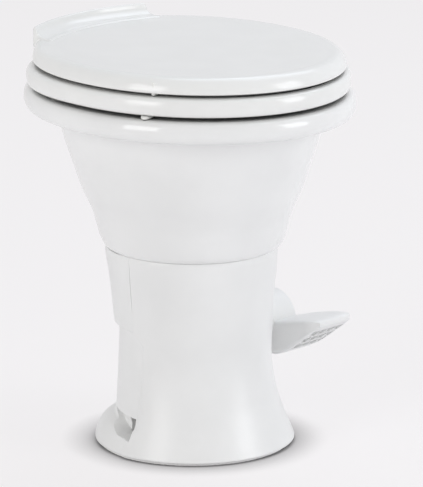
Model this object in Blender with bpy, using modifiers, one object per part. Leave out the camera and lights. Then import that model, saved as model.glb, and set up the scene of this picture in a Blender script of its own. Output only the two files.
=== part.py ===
# Gravity toilet for a caravan: ceramic bowl on a moulded pedestal with a foot pedal
# Front is -Y, the sitter's left is +X, floor at zero; lengths in metres
import bpy
import bmesh
import math
from mathutils import Matrix, Vector

# Main sizes
pedestal_axis_y = -0.0055
seam_height = 0.2465
rim_top = 0.4385
hinge_y = 0.172
hinge_z = 0.460
hinge_x = 0.060
shaft_z = 0.123
bolt_x = 0.0762
plate_top = 0.012
fit_gap = 0.0003
oval_count = 32
turn_count = 24
small_count = 12
full_turn = math.tau
quarter_turn = math.pi / 2

# Scene set-up
for old in list(bpy.data.objects):
    bpy.data.objects.remove(old, do_unlink=True)
main = bpy.data.collections.new("rv_toilet")
tools = bpy.data.collections.new("cutters")
bpy.context.scene.collection.children.link(main)
bpy.context.scene.collection.children.link(tools)


def surface(name, colour, roughness, metallic=0.0):
    item = bpy.data.materials.new(name)
    item.use_nodes = True
    shader = item.node_tree.nodes["Principled BSDF"]
    shader.inputs["Base Color"].default_value = (*colour, 1.0)
    shader.inputs["Roughness"].default_value = roughness
    shader.inputs["Metallic"].default_value = metallic
    item.diffuse_color = (*colour, 1.0)
    return item


white_share = (0.84, 0.84, 0.83)
cream_share = (0.78, 0.78, 0.76)
grey_share = (0.35, 0.36, 0.37)
dark_share = (0.03, 0.03, 0.03)
brass_share = (0.72, 0.52, 0.22)
steel_share = (0.60, 0.60, 0.61)


def own_material(obj, colour, roughness, metallic=0.0):
    obj.data.materials.append(surface(obj.name + "_material", colour, roughness, metallic))


def place(obj, helper=False):
    if helper:
        tools.objects.link(obj)
        obj.hide_render = True
        obj.display_type = "WIRE"
    else:
        main.objects.link(obj)
    return obj


def pivot(name, location):
    empty = bpy.data.objects.new(name, None)
    empty.location = location
    main.objects.link(empty)
    return empty


def ride(obj, empty):
    obj.parent = empty
    obj.matrix_parent_inverse = Matrix.Translation(-Vector(empty.location))


sides = (("left", 1), ("right", -1))
centre = pivot("centre", (0, 0, 0))
seat_axis = pivot("seat_axis", (0, hinge_y, hinge_z))
lid_axis = pivot("lid_axis", (0, hinge_y, hinge_z))
pedal_axis = pivot("pedal_axis", (0, 0, shaft_z))


def finish_mesh(name, mesh_data, helper, smooth=True):
    mesh = bpy.data.meshes.new(name)
    bmesh.ops.recalc_face_normals(mesh_data, faces=mesh_data.faces[:])
    mesh_data.to_mesh(mesh)
    mesh_data.free()
    mesh.shade_smooth() if smooth else mesh.shade_flat()
    return place(bpy.data.objects.new(name, mesh), helper)


def turn(name, profile, steps=turn_count, helper=False, location=(0, 0, 0), along_x=0):
    # profile: radius and height pairs, run down the outer side; closed loop unless it starts on the axis
    mesh = bpy.data.meshes.new(name)
    points = [(radius, 0, height) for radius, height in profile]
    edges = [(i, i + 1) for i in range(len(points) - 1)]
    if profile[0][0] > 0:
        edges.append((len(points) - 1, 0))
    mesh.from_pydata(points, edges, [])
    obj = place(bpy.data.objects.new(name, mesh), helper)
    screw = obj.modifiers.new("turn", "SCREW")
    screw.axis = "Z"
    screw.steps = steps
    screw.render_steps = steps
    screw.angle = full_turn
    screw.use_merge_vertices = True
    screw.merge_threshold = 0.00001
    screw.use_smooth_shade = True
    obj.location = location
    if along_x:
        # +1 points the profile's heights to the sitter's left, -1 to the right
        obj.rotation_euler = (0, along_x * quarter_turn, 0)
    return obj


def rod(name, radius, low, high, location=(0, 0, 0), along_x=0, steps=small_count, helper=False):
    return turn(name, [(0, high), (radius, high), (radius, low), (0, low)], steps, helper, location, along_x)


def sleeve(name, outer, inner, low, high, location=(0, 0, 0), along_x=0, steps=small_count, helper=False):
    loop = [(outer, high), (outer, low), (inner, low), (inner, high)]
    return turn(name, loop, steps, helper, location, along_x)


def block(name, low, high, helper=False, edge=0.0):
    size = [b - a for a, b in zip(low, high)]
    middle = [(a + b) / 2 for a, b in zip(low, high)]
    data = bmesh.new()
    bmesh.ops.create_cube(data, size=1.0)
    bmesh.ops.scale(data, vec=size, verts=data.verts)
    obj = finish_mesh(name, data, helper, smooth=False)
    obj.location = middle
    if edge:
        round_edges(obj, edge)
    return obj


def round_edges(obj, width, segments=2):
    bevel = obj.modifiers.new("edges", "BEVEL")
    bevel.width = width
    bevel.segments = segments
    bevel.limit_method = "ANGLE"


def combine(target, other, operation):
    boolean = target.modifiers.new(operation.lower() + "_" + other.name, "BOOLEAN")
    boolean.operation = operation
    boolean.solver = "EXACT"
    boolean.object = other


def cut(target, other):
    combine(target, other, "DIFFERENCE")


def join(target, other):
    combine(target, other, "UNION")


def plate(name, outline, low, high, helper=False, axis="Z"):
    # flat outline drawn as a filled curve and given a thickness
    curve = bpy.data.curves.new(name + "_outline", "CURVE")
    curve.dimensions = "2D"
    curve.fill_mode = "BOTH"
    curve.extrude = (high - low) / 2
    line = curve.splines.new("POLY")
    line.points.add(len(outline) - 1)
    for point, spot in zip(line.points, outline):
        point.co = (spot[0], spot[1], 0, 1)
    line.use_cyclic_u = True
    drawn = bpy.data.objects.new(name + "_drawn", curve)
    main.objects.link(drawn)
    shape = bpy.data.meshes.new_from_object(drawn.evaluated_get(bpy.context.evaluated_depsgraph_get()))
    bpy.data.objects.remove(drawn, do_unlink=True)
    data = bmesh.new()
    data.from_mesh(shape)
    bmesh.ops.remove_doubles(data, verts=data.verts, dist=0.00001)
    obj = finish_mesh(name, data, helper, smooth=False)
    middle = (high + low) / 2
    if axis == "X":
        obj.rotation_euler = (0, quarter_turn, 0)
        obj.location = (middle, 0, 0)
    else:
        obj.location = (0, 0, middle)
    return obj


def mirrored(obj, along_x=True, along_y=False):
    flip = obj.modifiers.new("other_side", "MIRROR")
    flip.mirror_object = centre
    flip.use_axis = (along_x, along_y, False)
    flip.use_mirror_merge = False


def oval(half_width, front, rear, middle, height, power=2.0):
    # ring of points; the rear half may be squarer than an ellipse
    ring = []
    for i in range(oval_count):
        angle = full_turn * i / oval_count
        c, s = math.cos(angle), math.sin(angle)
        if s > 0:
            reach = (abs(c) ** power + abs(s) ** power) ** (-1 / power)
            ring.append((half_width * c * reach, middle + rear * s * reach, height))
        else:
            ring.append((half_width * c, middle + front * s, height))
    return ring


def loft(name, rings, closed=False, helper=False, fan=True):
    data = bmesh.new()
    loops = [[data.verts.new(spot) for spot in ring] for ring in rings]
    count = len(loops[0])
    spans = list(zip(loops, loops[1:]))
    if closed:
        spans.append((loops[-1], loops[0]))
    for upper, lower in spans:
        for i in range(count):
            j = (i + 1) % count
            data.faces.new((upper[i], lower[i], lower[j], upper[j]))
    if not closed:
        for loop in (loops[0], loops[-1]):
            if not fan:
                data.faces.new(loop)
                continue
            middle = data.verts.new(sum((v.co for v in loop), Vector()) / count)
            for i in range(count):
                data.faces.new((loop[i], loop[(i + 1) % count], middle))
    return finish_mesh(name, data, helper)


def tube(name, path, radius, helper=False, sides=2):
    curve = bpy.data.curves.new(name, "CURVE")
    curve.dimensions = "3D"
    curve.bevel_depth = radius
    curve.bevel_resolution = sides
    curve.use_fill_caps = True
    line = curve.splines.new("POLY")
    line.points.add(len(path) - 1)
    for point, spot in zip(line.points, path):
        point.co = (*spot, 1)
    return place(bpy.data.objects.new(name, curve), helper)


def smooth_path(knots, steps):
    # passes through every knot with a tangent set by its neighbours
    knots = [Vector(k) for k in knots]
    ends = [knots[0] * 2 - knots[1]] + knots + [knots[-1] * 2 - knots[-2]]
    path = []
    for a, b, c, d in zip(ends, ends[1:], ends[2:], ends[3:]):
        for i in range(steps):
            t = i / steps
            path.append(0.5 * (2 * b + (c - a) * t + (2 * a - 5 * b + 4 * c - d) * t ** 2
                               + (3 * b - a - 3 * c + d) * t ** 3))
    path.append(knots[-1])
    return path


# Bowl: sections as half width, half depth, middle, height, run down outside and back up inside
rim_band = (
    (0.1805, 0.2030, 0.0, 0.4385), (0.1862, 0.2087, 0.0, 0.4355), (0.1875, 0.2100, 0.0, 0.4290),
    (0.1875, 0.2100, 0.0, 0.4210), (0.1857, 0.2082, 0.0, 0.4150), (0.1815, 0.2040, 0.0, 0.4115),
    (0.1600, 0.1785, -0.0010, 0.4115), (0.1525, 0.1700, -0.0010, 0.4070),
)
skirt = (
    (0.1495, 0.1655, -0.0012, 0.3960), (0.1452, 0.1597, -0.0016, 0.3760), (0.1371, 0.1481, -0.0024, 0.3460),
    (0.1289, 0.1366, -0.0033, 0.3160), (0.1178, 0.1219, -0.0044, 0.2860), (0.1117, 0.1123, -0.0052, 0.2570),
    (0.1090, 0.1090, -0.0055, 0.2510), (0.1060, 0.1060, -0.0055, seam_height),
)
skirt_inside = (
    (0.0950, 0.0950, -0.0055, seam_height), (0.1083, 0.1124, -0.0044, 0.2860),
    (0.1265, 0.1365, -0.0026, 0.3430),
    (0.1350, 0.1500, -0.0020, 0.3850),
)
funnel_outside = (
    (0.1325, 0.1462, -0.0032, 0.3870), (0.1060, 0.1130, -0.0040, 0.3500),
    (0.0800, 0.0825, -0.0025, 0.3130), (0.0550, 0.0555, -0.0010, 0.2720),
    (0.0430, 0.0430, 0.0, 0.2480), (0.0360, 0.0360, 0.0, 0.2100),
    (0.0370, 0.0370, 0.0, 0.1900), (0.0560, 0.0560, 0.0, 0.1890), (0.0560, 0.0560, 0.0, 0.1810),
)
basin = (
    (0.0280, 0.0280, 0.0, 0.1810), (0.0290, 0.0290, 0.0, 0.2250), (0.0350, 0.0350, 0.0, 0.2480),
    (0.0470, 0.0475, -0.0010, 0.2720), (0.0715, 0.0740, -0.0025, 0.3130),
    (0.0960, 0.1030, -0.0040, 0.3500), (0.1160, 0.1270, -0.0040, 0.3760), (0.1290, 0.1440, -0.0040, 0.3930),
    (0.1430, 0.1600, -0.0040, 0.4080), (0.1500, 0.1680, -0.0030, 0.4160), (0.1500, 0.1680, -0.0030, 0.4280),
    (0.1400, 0.1580, -0.0040, 0.4300), (0.1390, 0.1570, -0.0040, 0.4230), (0.1335, 0.1515, -0.0040, 0.4230),
    (0.1335, 0.1515, -0.0040, 0.4350), (0.1365, 0.1545, -0.0040, 0.4385),
)
bowl_sections = rim_band + skirt + skirt_inside + funnel_outside + basin
bowl = loft("bowl", [oval(a, b, b, middle, z) for a, b, middle, z in bowl_sections], closed=True)
own_material(bowl, white_share, 0.08)
hinge_bolt_y = 0.170
hinge_hole_radius = 0.005
rim_deep = 0.400
rim_high = 0.450
hinge_holes = rod("hinge_holes", hinge_hole_radius, rim_deep, rim_high, (hinge_x, hinge_bolt_y, 0), helper=True)
mirrored(hinge_holes)
cut(bowl, hinge_holes)
spud_z = 0.399
spud_hole_radius = 0.0078
spud_inner_y = 0.130
spud_outer_y = 0.180
spud_hole = rod("spud_hole", spud_hole_radius, spud_inner_y, spud_outer_y, (0, 0, spud_z), helper=True)
spud_hole.rotation_euler = (-quarter_turn, 0, 0)
cut(bowl, spud_hole)

# Pedestal: narrow shell all round, with a flared apron over its front half
shell_outside = (
    (0.1020, 0.2460), (0.0980, 0.2190), (0.0895, 0.1420), (0.0910, 0.0900), (0.0940, 0.0355),
    (0.1020, 0.0335), (0.1100, 0.0280), (0.1160, 0.0190), (0.1185, 0.0080), (0.1185, 0),
)
shell_inside = (
    (0, plate_top), (0.0980, plate_top), (0.0905, 0.0355), (0.0870, 0.1060), (0.0860, 0.1420),
    (0.0945, 0.2190), (0.0985, 0.2460),
)
apron_outside = (
    (0.1025, 0.2460), (0.1020, 0.2190), (0.0995, 0.1960), (0.0970, 0.1500), (0.0960, 0.1020), (0.0995, 0.0765),
    (0.1045, 0.0540), (0.1095, 0.0415), (0.1130, 0.0315), (0.1205, 0.0130), (0.1235, 0.0050), (0.1225, 0),
)
apron_inside = (
    (0.0880, 0), (0.0880, 0.1420), (0.0960, 0.2190), (0.1000, 0.2460),
)
pedestal_spot = (0, pedestal_axis_y, 0)
ridge_y = -0.0105
drain_hole_radius = 0.0498
bolt_hole_radius = 0.0042
pedestal = turn("pedestal", shell_inside + shell_outside + ((0, 0),), oval_count, location=pedestal_spot)
own_material(pedestal, white_share, 0.22)
base_screw_spot = 0.0382
base_screw_holes = []
for label, side in sides:
    base_screw_holes.append(rod("base_screw_hole_" + label, 0.0026, -0.004, 0.030,
                                (side * base_screw_spot, side * base_screw_spot, 0), steps=12, helper=True))
    cut(pedestal, base_screw_holes[-1])
drain_hole = rod("drain_hole", drain_hole_radius, -0.010, 0.050, steps=turn_count, helper=True)
cut(pedestal, drain_hole)
apron = turn("apron", apron_outside + apron_inside, oval_count, True, pedestal_spot)
behind_ridge = block("behind_ridge", (-0.2, ridge_y, -0.1), (0.2, 0.3, 0.4), True)
cut(apron, behind_ridge)
join(pedestal, apron)
pocket_inner_x = 0.064
pocket_rear_y = 0.036
pocket_top = 0.044
pocket_wall = 0.0035
foot_limit = turn("foot_limit", ((0, 0.2460),) + shell_outside + ((0, 0),), oval_count, True, pedestal_spot)
pocket_walls = block("pocket_walls", (pocket_inner_x - pocket_wall, ridge_y - pocket_wall, 0.002),
                     (0.140, pocket_rear_y + pocket_wall, pocket_top + pocket_wall), True)
mirrored(pocket_walls)
combine(pocket_walls, foot_limit, "INTERSECT")
join(pedestal, pocket_walls)
pockets = block("pockets", (pocket_inner_x, ridge_y, plate_top), (0.150, pocket_rear_y, pocket_top), True)
mirrored(pockets)
cut(pedestal, pockets)
bolt_holes = rod("bolt_holes", bolt_hole_radius, -0.010, 0.020, (bolt_x, 0, 0), helper=True)
mirrored(bolt_holes)
cut(pedestal, bolt_holes)
window = block("window", (-0.050, 0.060, 0.156), (0.050, 0.130, 0.238), True)
cut(pedestal, window)
collar_radius = 0.022
collar_end = 0.1117
collar = rod("collar", collar_radius, 0.082, collar_end, (0, 0, shaft_z), 1, helper=True)
join(pedestal, collar)
shaft_bore = rod("shaft_bore", 0.0074, 0.070, 0.120, (0, 0, shaft_z), 1, helper=True)
cut(pedestal, shaft_bore)

# Rear cover, follows the shell and hides the water valve
cover_front_y = 0.003
cover_loop = (
    (0.1058, 0.2455), (0.1030, 0.2190), (0.0975, 0.1700), (0.0953, 0.1500),
    (0.0908, 0.1500), (0.0984, 0.2190), (0.10235, 0.2455),
)
rear_cover = turn("rear_cover", cover_loop, oval_count, location=pedestal_spot)
own_material(rear_cover, white_share, 0.22)
before_cover = block("before_cover", (-0.2, -0.3, 0.1), (0.2, cover_front_y, 0.3), True)
cut(rear_cover, before_cover)
hose_exit_z = 0.2260
hose_exit = rod("hose_exit", 0.0105, -0.125, -0.080, (0.0, 0, hose_exit_z), helper=True)
hose_exit.rotation_euler = (quarter_turn, 0, 0)
cut(rear_cover, hose_exit)

# Ball valve under the bowl
ball_radius = 0.052
ball_inside = 0.047
ball_half_angle = math.radians(42)
housing_loop = (
    (0.0560, 0.1807), (0.0560, 0.1720), (0.0500, 0.1710), (0.0500, 0.1535), (0.0562, 0.1380), (0.0580, 0.1230),
    (0.0545, 0.1030), (0.0480, 0.0900), (0.0420, 0.0800), (0.0420, 0.0220), (0.0580, 0.0220), (0.0580, 0.0123),
    (0.0420, 0.0123), (0.0420, 0.0020), (0.0375, 0.0020), (0.0375, 0.0841), (0.0470, 0.0964), (0.0524, 0.1100),
    (0.0540, 0.1230), (0.0524, 0.1360), (0.0470, 0.1496), (0.0400, 0.1593), (0.0400, 0.1677), (0.0463, 0.1677),
    (0.0463, 0.1807),
)
valve_housing = turn("valve_housing", housing_loop)
own_material(valve_housing, dark_share, 0.45)
boss_radius = 0.017
boss_end = 0.064
bosses = rod("bosses", boss_radius, 0.0548, boss_end, (0, 0, shaft_z), 1, helper=True)
mirrored(bosses)
bracket_arm = block("bracket_arm", (-0.0622, -0.008, 0.152), (-0.046, 0.008, 0.164), True)
boss_bores = rod("boss_bores", 0.0093, 0.040, 0.070, (0, 0, shaft_z), 1, helper=True)
mirrored(boss_bores)
for hole in base_screw_holes:
    cut(valve_housing, hole)
join(valve_housing, bosses)
join(valve_housing, bracket_arm)
cut(valve_housing, boss_bores)

arc_steps = 5
pole_radius = 0.012


def arc(radius, rising):
    start = math.asin(pole_radius / radius)
    turns = [start + (math.pi - 2 * start) * i / arc_steps for i in range(arc_steps + 1)]
    spots = [(radius * math.sin(a), radius * math.cos(a)) for a in turns]
    return spots[::-1] if rising else spots


flush_ball = turn("flush_ball", arc(ball_radius, False) + arc(ball_inside, True), 24, location=(0, 0, shaft_z),
                  along_x=1)
own_material(flush_ball, dark_share, 0.30)
wedge_reach = 0.090
wedge_outline = (
    (0.004, 0), (-wedge_reach * math.cos(ball_half_angle), wedge_reach * math.sin(ball_half_angle)),
    (-wedge_reach * 1.1, 0), (-wedge_reach * math.cos(ball_half_angle), -wedge_reach * math.sin(ball_half_angle)),
)
wedge = plate("wedge", wedge_outline, -0.060, 0.060, True, "X")
wedge.location.z = shaft_z
combine(flush_ball, wedge, "INTERSECT")
ball_hubs = rod("ball_hubs", 0.0150, 0.0400, 0.0505, (0, 0, shaft_z), 1, helper=True)
mirrored(ball_hubs)
join(flush_ball, ball_hubs)
ball_bores = rod("ball_bores", 0.0073, 0.030, 0.060, (0, 0, shaft_z), 1, helper=True)
mirrored(ball_bores)
cut(flush_ball, ball_bores)
ride(flush_ball, pedal_axis)

seal_loop = ((0.0460, 0.1807), (0.0460, 0.1680), (0.0396, 0.1680), (0.0380, 0.1660), (0.0302, 0.1658),
             (0.0302, 0.1807))
bowl_seal = turn("bowl_seal", seal_loop)
own_material(bowl_seal, dark_share, 0.75)
floor_seal = sleeve("floor_seal", 0.0495, 0.0423, 0.0003, 0.0117, steps=turn_count)
own_material(floor_seal, grey_share, 0.85)

# Clamp that holds the bowl's neck to the housing, in two halves
clamp_loop = ((0.0605, 0.1940), (0.0605, 0.1670), (0.0512, 0.1670), (0.0512, 0.1705), (0.0568, 0.1705),
              (0.0568, 0.1903), (0.0440, 0.1903), (0.0440, 0.1940))
split_gap = 0.0007
ear_deep = 0.0052
ear_near = 0.058
ear_far = 0.074
ear_low = 0.174
ear_high = 0.188
clamp_screw_y = 0.068
clamp_screw_z = 0.181
clamp_holes = rod("clamp_holes", 0.0024, -0.020, 0.020, (0, clamp_screw_y, clamp_screw_z), 1, helper=True)
mirrored(clamp_holes, False, True)
for name, side in (("clamp_left", 1), ("clamp_right", -1)):
    half = turn(name, clamp_loop)
    own_material(half, grey_share, 0.50)
    xs = sorted((side * split_gap, side * -0.1))
    cut(half, block(name + "_trim", (xs[0], -0.1, 0.15), (xs[1], 0.1, 0.21), True))
    xs = sorted((side * split_gap, side * ear_deep))
    ears = block(name + "_ears", (xs[0], ear_near, ear_low), (xs[1], ear_far, ear_high), True)
    mirrored(ears, False, True)
    join(half, ears)
    cut(half, clamp_holes)
screw_loop = ((0, 0.0085), (0.0040, 0.0085), (0.0040, 0.0055), (0.0020, 0.0055), (0.0020, -0.0110), (0, -0.0110))
for label, end in (("front", -1), ("rear", 1)):
    clamp_screw = turn("clamp_screw_" + label, screw_loop, small_count,
                       location=(0, end * clamp_screw_y, clamp_screw_z), along_x=1)
    own_material(clamp_screw, steel_share, 0.35, 1.0)
base_screw_loop = ((0, 0.0250), (0.0042, 0.0250), (0.0042, 0.0223), (0.0022, 0.0223), (0.0022, 0.0040), (0, 0.0040))
for label, side in sides:
    base_screw = turn("base_screw_" + label, base_screw_loop, 12,
                      location=(side * base_screw_spot, side * base_screw_spot, 0))
    own_material(base_screw, steel_share, 0.35, 1.0)

# Shafts, bushes and return spring
shaft_radius = 0.007
drive_loop = ((0, 0.1305), (0.0026, 0.1305), (0.0026, 0.1427), (shaft_radius, 0.1427), (shaft_radius, 0.0410),
              (0, 0.0410))
drive_shaft = turn("drive_shaft", drive_loop, small_count, location=(0, 0, shaft_z), along_x=1)
own_material(drive_shaft, steel_share, 0.30, 1.0)
ride(drive_shaft, pedal_axis)
pivot_shaft = rod("pivot_shaft", shaft_radius, -0.0840, -0.0410, (0, 0, shaft_z), 1)
own_material(pivot_shaft, steel_share, 0.30, 1.0)
ride(pivot_shaft, pedal_axis)
bush_loop = ((0.0120, 0.0663), (0.0120, 0.0643), (0.0090, 0.0643), (0.0090, 0.0563), (0.0073, 0.0563),
             (0.0073, 0.0663))
for label, side in sides:
    shaft_bush = turn("shaft_bush_" + label, bush_loop, small_count, location=(0, 0, shaft_z), along_x=side)
    own_material(shaft_bush, cream_share, 0.40)
case_loop = ((0.0170, 0.0812), (0.0170, 0.0643), (0.0145, 0.0643), (0.0145, 0.0792), (0.0077, 0.0792),
             (0.0077, 0.0812))
spring_case = turn("spring_case", case_loop, 24, location=(0, 0, shaft_z), along_x=1)
own_material(spring_case, grey_share, 0.45)
coil_turns = 4
coil_points = 8
coil_radius = 0.0130
coil_start = 0.0692
coil_pitch = 0.0022
coil_path = []
for i in range(coil_turns * coil_points + 1):
    angle = full_turn * i / coil_points
    coil_path.append((coil_start + coil_pitch * i / coil_points, coil_radius * math.cos(angle),
                      shaft_z + coil_radius * math.sin(angle)))
return_spring = tube("return_spring", coil_path, 0.0009, sides=1)
own_material(return_spring, steel_share, 0.30, 1.0)

# Foot pedal: hub drum and a hollow arm whose sloping underside is ribbed
pedal_inner = 0.112
hub_loop = ((0.0345, 0.1540), (0.0360, 0.1525), (0.0360, 0.1135), (0.0345, pedal_inner), (0.0073, pedal_inner),
            (0.0073, 0.1430), (0.0027, 0.1430), (0.0027, 0.1470), (0.0080, 0.1470), (0.0080, 0.1510),
            (0.0160, 0.1510), (0.0160, 0.1540))
pedal = turn("pedal", hub_loop, turn_count, location=(0, 0, shaft_z), along_x=1)
own_material(pedal, white_share, 0.28)
arm_side = (
    (-0.018, 0.010), (-0.040, 0.011), (-0.075, 0.017), (-0.096, 0.0245), (-0.1015, 0.0245), (-0.1040, 0.0220),
    (-0.104, 0.017), (-0.072, -0.021), (-0.052, -0.031), (-0.030, -0.0345), (-0.018, -0.0305),
)
arm = plate("arm", [(-z, y) for y, z in arm_side], pedal_inner, 0.181, True, "X")
arm.location.z = shaft_z
arm_plan = (
    (pedal_inner, -0.018), (0.1520, -0.018), (0.1530, -0.034), (0.1730, -0.040), (0.1790, -0.045), (0.1815, -0.052),
    (0.1815, -0.095), (0.1790, -0.101), (0.1740, -0.1045), (0.1180, -0.1045), (pedal_inner, -0.099),
)
arm_limit = plate("arm_limit", arm_plan, 0.05, 0.20, True)
combine(arm, arm_limit, "INTERSECT")
join(pedal, arm)
cell_size = 0.0115
cell_step = 0.0145
cell_count = 4
cell_rows = 3
slope_angle = math.atan2(0.038, 0.032)
cells = block("cells", (0, 0, 0), (cell_size, cell_size, 0.018), True)
cells.location = (0.1235, -0.0788, shaft_z - 0.0128)
cells.rotation_euler = (-slope_angle, 0, 0)
for label, offset, count in (("across", (cell_step, 0, 0), cell_count), ("along", (0, -cell_step, 0), cell_rows)):
    array = cells.modifiers.new(label, "ARRAY")
    array.use_relative_offset = False
    array.use_constant_offset = True
    array.constant_offset_displace = offset
    array.count = count
cut(pedal, cells)
ride(pedal, pedal_axis)
pedal_screw = turn("pedal_screw", ((0, 0.1503), (0.0050, 0.1503), (0.0050, 0.1473), (0.0023, 0.1473),
                                   (0.0023, 0.1310), (0, 0.1310)), small_count, location=(0, 0, shaft_z), along_x=1)
own_material(pedal_screw, steel_share, 0.35, 1.0)
ride(pedal_screw, pedal_axis)
hub_cap = rod("hub_cap", 0.0157, 0.1513, 0.1538, (0, 0, shaft_z), 1, steps=24)
own_material(hub_cap, cream_share, 0.30)
ride(hub_cap, pedal_axis)

# Cam on the pivot shaft, and the water valve that it opens
cam_low = 0.011
cam_lift = 0.006
lift_end = 75
dwell_end = 95
fall_end = 130
cam_outline = []
for degrees in range(0, 360, 10):
    if degrees <= lift_end:
        radius = cam_low + cam_lift * degrees / lift_end
    elif degrees <= dwell_end:
        radius = cam_low + cam_lift
    elif degrees <= fall_end:
        radius = cam_low + cam_lift * (fall_end - degrees) / (fall_end - dwell_end)
    else:
        radius = cam_low - 0.0005
    angle = math.radians(degrees)
    cam_outline.append((-radius * math.cos(angle), radius * math.sin(angle)))
valve_x = -0.073
cam = plate("cam", cam_outline, -0.0765, -0.0695, False, "X")
cam.location.z = shaft_z
own_material(cam, cream_share, 0.45)
cam_bore = rod("cam_bore", 0.0073, -0.090, -0.060, (0, 0, shaft_z), 1, helper=True)
cut(cam, cam_bore)
ride(cam, pedal_axis)
plunger_loop = ((0, 0.1650), (0.0030, 0.1650), (0.0030, 0.1375), (0.0010, 0.1346), (0, 0.1346))
valve_plunger = turn("valve_plunger", plunger_loop, 12, location=(valve_x, 0, 0))
own_material(valve_plunger, brass_share, 0.30, 1.0)
valve_loop = ((0, 0.2160), (0.0105, 0.2160), (0.0105, 0.1500), (0.0034, 0.1500), (0.0034, 0.1740), (0, 0.1740))
water_valve = turn("water_valve", valve_loop, 20, location=(valve_x, 0, 0))
own_material(water_valve, dark_share, 0.40)
inlet_z = 0.206
inlet_heading = math.atan2(0.8, 0.6)
inlet_stub = rod("inlet_stub", 0.0080, 0.0, 0.0400, (valve_x, 0, inlet_z), helper=True)
inlet_stub.rotation_euler = (0, quarter_turn, inlet_heading)
join(water_valve, inlet_stub)
outlet_barb = rod("outlet_barb", 0.0060, 0.2140, 0.2320, (valve_x, 0, 0), helper=True)
join(water_valve, outlet_barb)
inlet_fitting = sleeve("inlet_fitting", 0.0110, 0.0050, 0.0403, 0.0520, (valve_x, 0, inlet_z), steps=6)
inlet_fitting.rotation_euler = (0, quarter_turn, inlet_heading)
own_material(inlet_fitting, brass_share, 0.30, 1.0)
fitting_thread = sleeve("fitting_thread", 0.0088, 0.0040, 0.0480, 0.0700, (valve_x, 0, inlet_z), helper=True)
fitting_thread.rotation_euler = (0, quarter_turn, inlet_heading)
join(inlet_fitting, fitting_thread)

# Hose up to the vacuum breaker behind the bowl
breaker_y = 0.188
hose_knots = (
    (valve_x, 0, 0.2323), (valve_x, 0, 0.2380), (valve_x, 0, 0.2440), (-0.0700, 0.0100, 0.2520),
    (-0.0580, 0.0320, 0.2530), (-0.0400, 0.0540, 0.2420), (-0.0170, 0.0740, 0.2300), (0, 0.0890, hose_exit_z),
    (0, 0.1030, 0.2270), (0, 0.1180, 0.2370), (0, 0.1320, 0.2620), (0, 0.1540, 0.3040), (0, 0.1790, 0.3320),
    (0, breaker_y, 0.3440), (0, breaker_y, 0.3500), (0, breaker_y, 0.3555),
)
hose_radius = 0.007
supply_hose = tube("supply_hose", smooth_path(hose_knots, 2), hose_radius)
own_material(supply_hose, grey_share, 0.45)
hose_bands = sleeve("hose_band_low", 0.0090, 0.0077, 0.2345, 0.2400, (valve_x, 0, 0))
own_material(hose_bands, steel_share, 0.30, 1.0)
band_top = sleeve("hose_band_high", 0.0090, 0.0077, 0.3485, 0.3540, (0, breaker_y, 0))
own_material(band_top, steel_share, 0.30, 1.0)
breaker_loop = ((0, 0.3900), (0.0100, 0.3900), (0.0100, 0.4040), (0.0130, 0.4040), (0.0130, 0.3640),
                (0.0060, 0.3640), (0.0060, 0.3560), (0, 0.3560))
breaker_body = turn("breaker_body", breaker_loop, 20, location=(0, breaker_y, 0))
own_material(breaker_body, cream_share, 0.40)
breaker_stub = rod("breaker_stub", 0.0050, -0.1772, -0.1400, (0, 0, spud_z), helper=True)
breaker_stub.rotation_euler = (quarter_turn, 0, 0)
join(breaker_body, breaker_stub)
breaker_float = rod("breaker_float", 0.0094, 0.3903, 0.3943, (0, breaker_y, 0))
own_material(breaker_float, dark_share, 0.50)
breaker_cap = sleeve("breaker_cap", 0.0130, 0.0040, 0.4043, 0.4085, (0, breaker_y, 0), steps=20)
own_material(breaker_cap, grey_share, 0.40)
spud_grommet = sleeve("spud_grommet", 0.0075, 0.0053, -0.1660, -0.1480, (0, 0, spud_z))
spud_grommet.rotation_euler = (quarter_turn, 0, 0)
own_material(spud_grommet, dark_share, 0.70)

# Closet bolts and their caps
cap_loop = ((0, 0.0280), (0.0060, 0.0277), (0.0087, 0.0262), (0.0097, 0.0235), (0.0097, 0.0141), (0.0088, 0.0141),
            (0.0088, 0.0240), (0.0075, 0.0262), (0, 0.0262))
for label, side in sides:
    bolt_spot = (side * bolt_x, 0, 0)
    closet_bolt = rod("closet_bolt_" + label, 0.0032, 0.0003, 0.0250, bolt_spot, steps=12)
    own_material(closet_bolt, brass_share, 0.30, 1.0)
    bolt_washer = sleeve("bolt_washer_" + label, 0.0094, 0.0036, 0.0123, 0.0138, bolt_spot)
    own_material(bolt_washer, steel_share, 0.35, 1.0)
    bolt_nut = sleeve("bolt_nut_" + label, 0.0066, 0.0041, 0.0141, 0.0196, bolt_spot, steps=6)
    own_material(bolt_nut, brass_share, 0.35, 1.0)
    bolt_cap = turn("bolt_cap_" + label, cap_loop, 20, location=bolt_spot)
    own_material(bolt_cap, white_share, 0.30)

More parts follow.
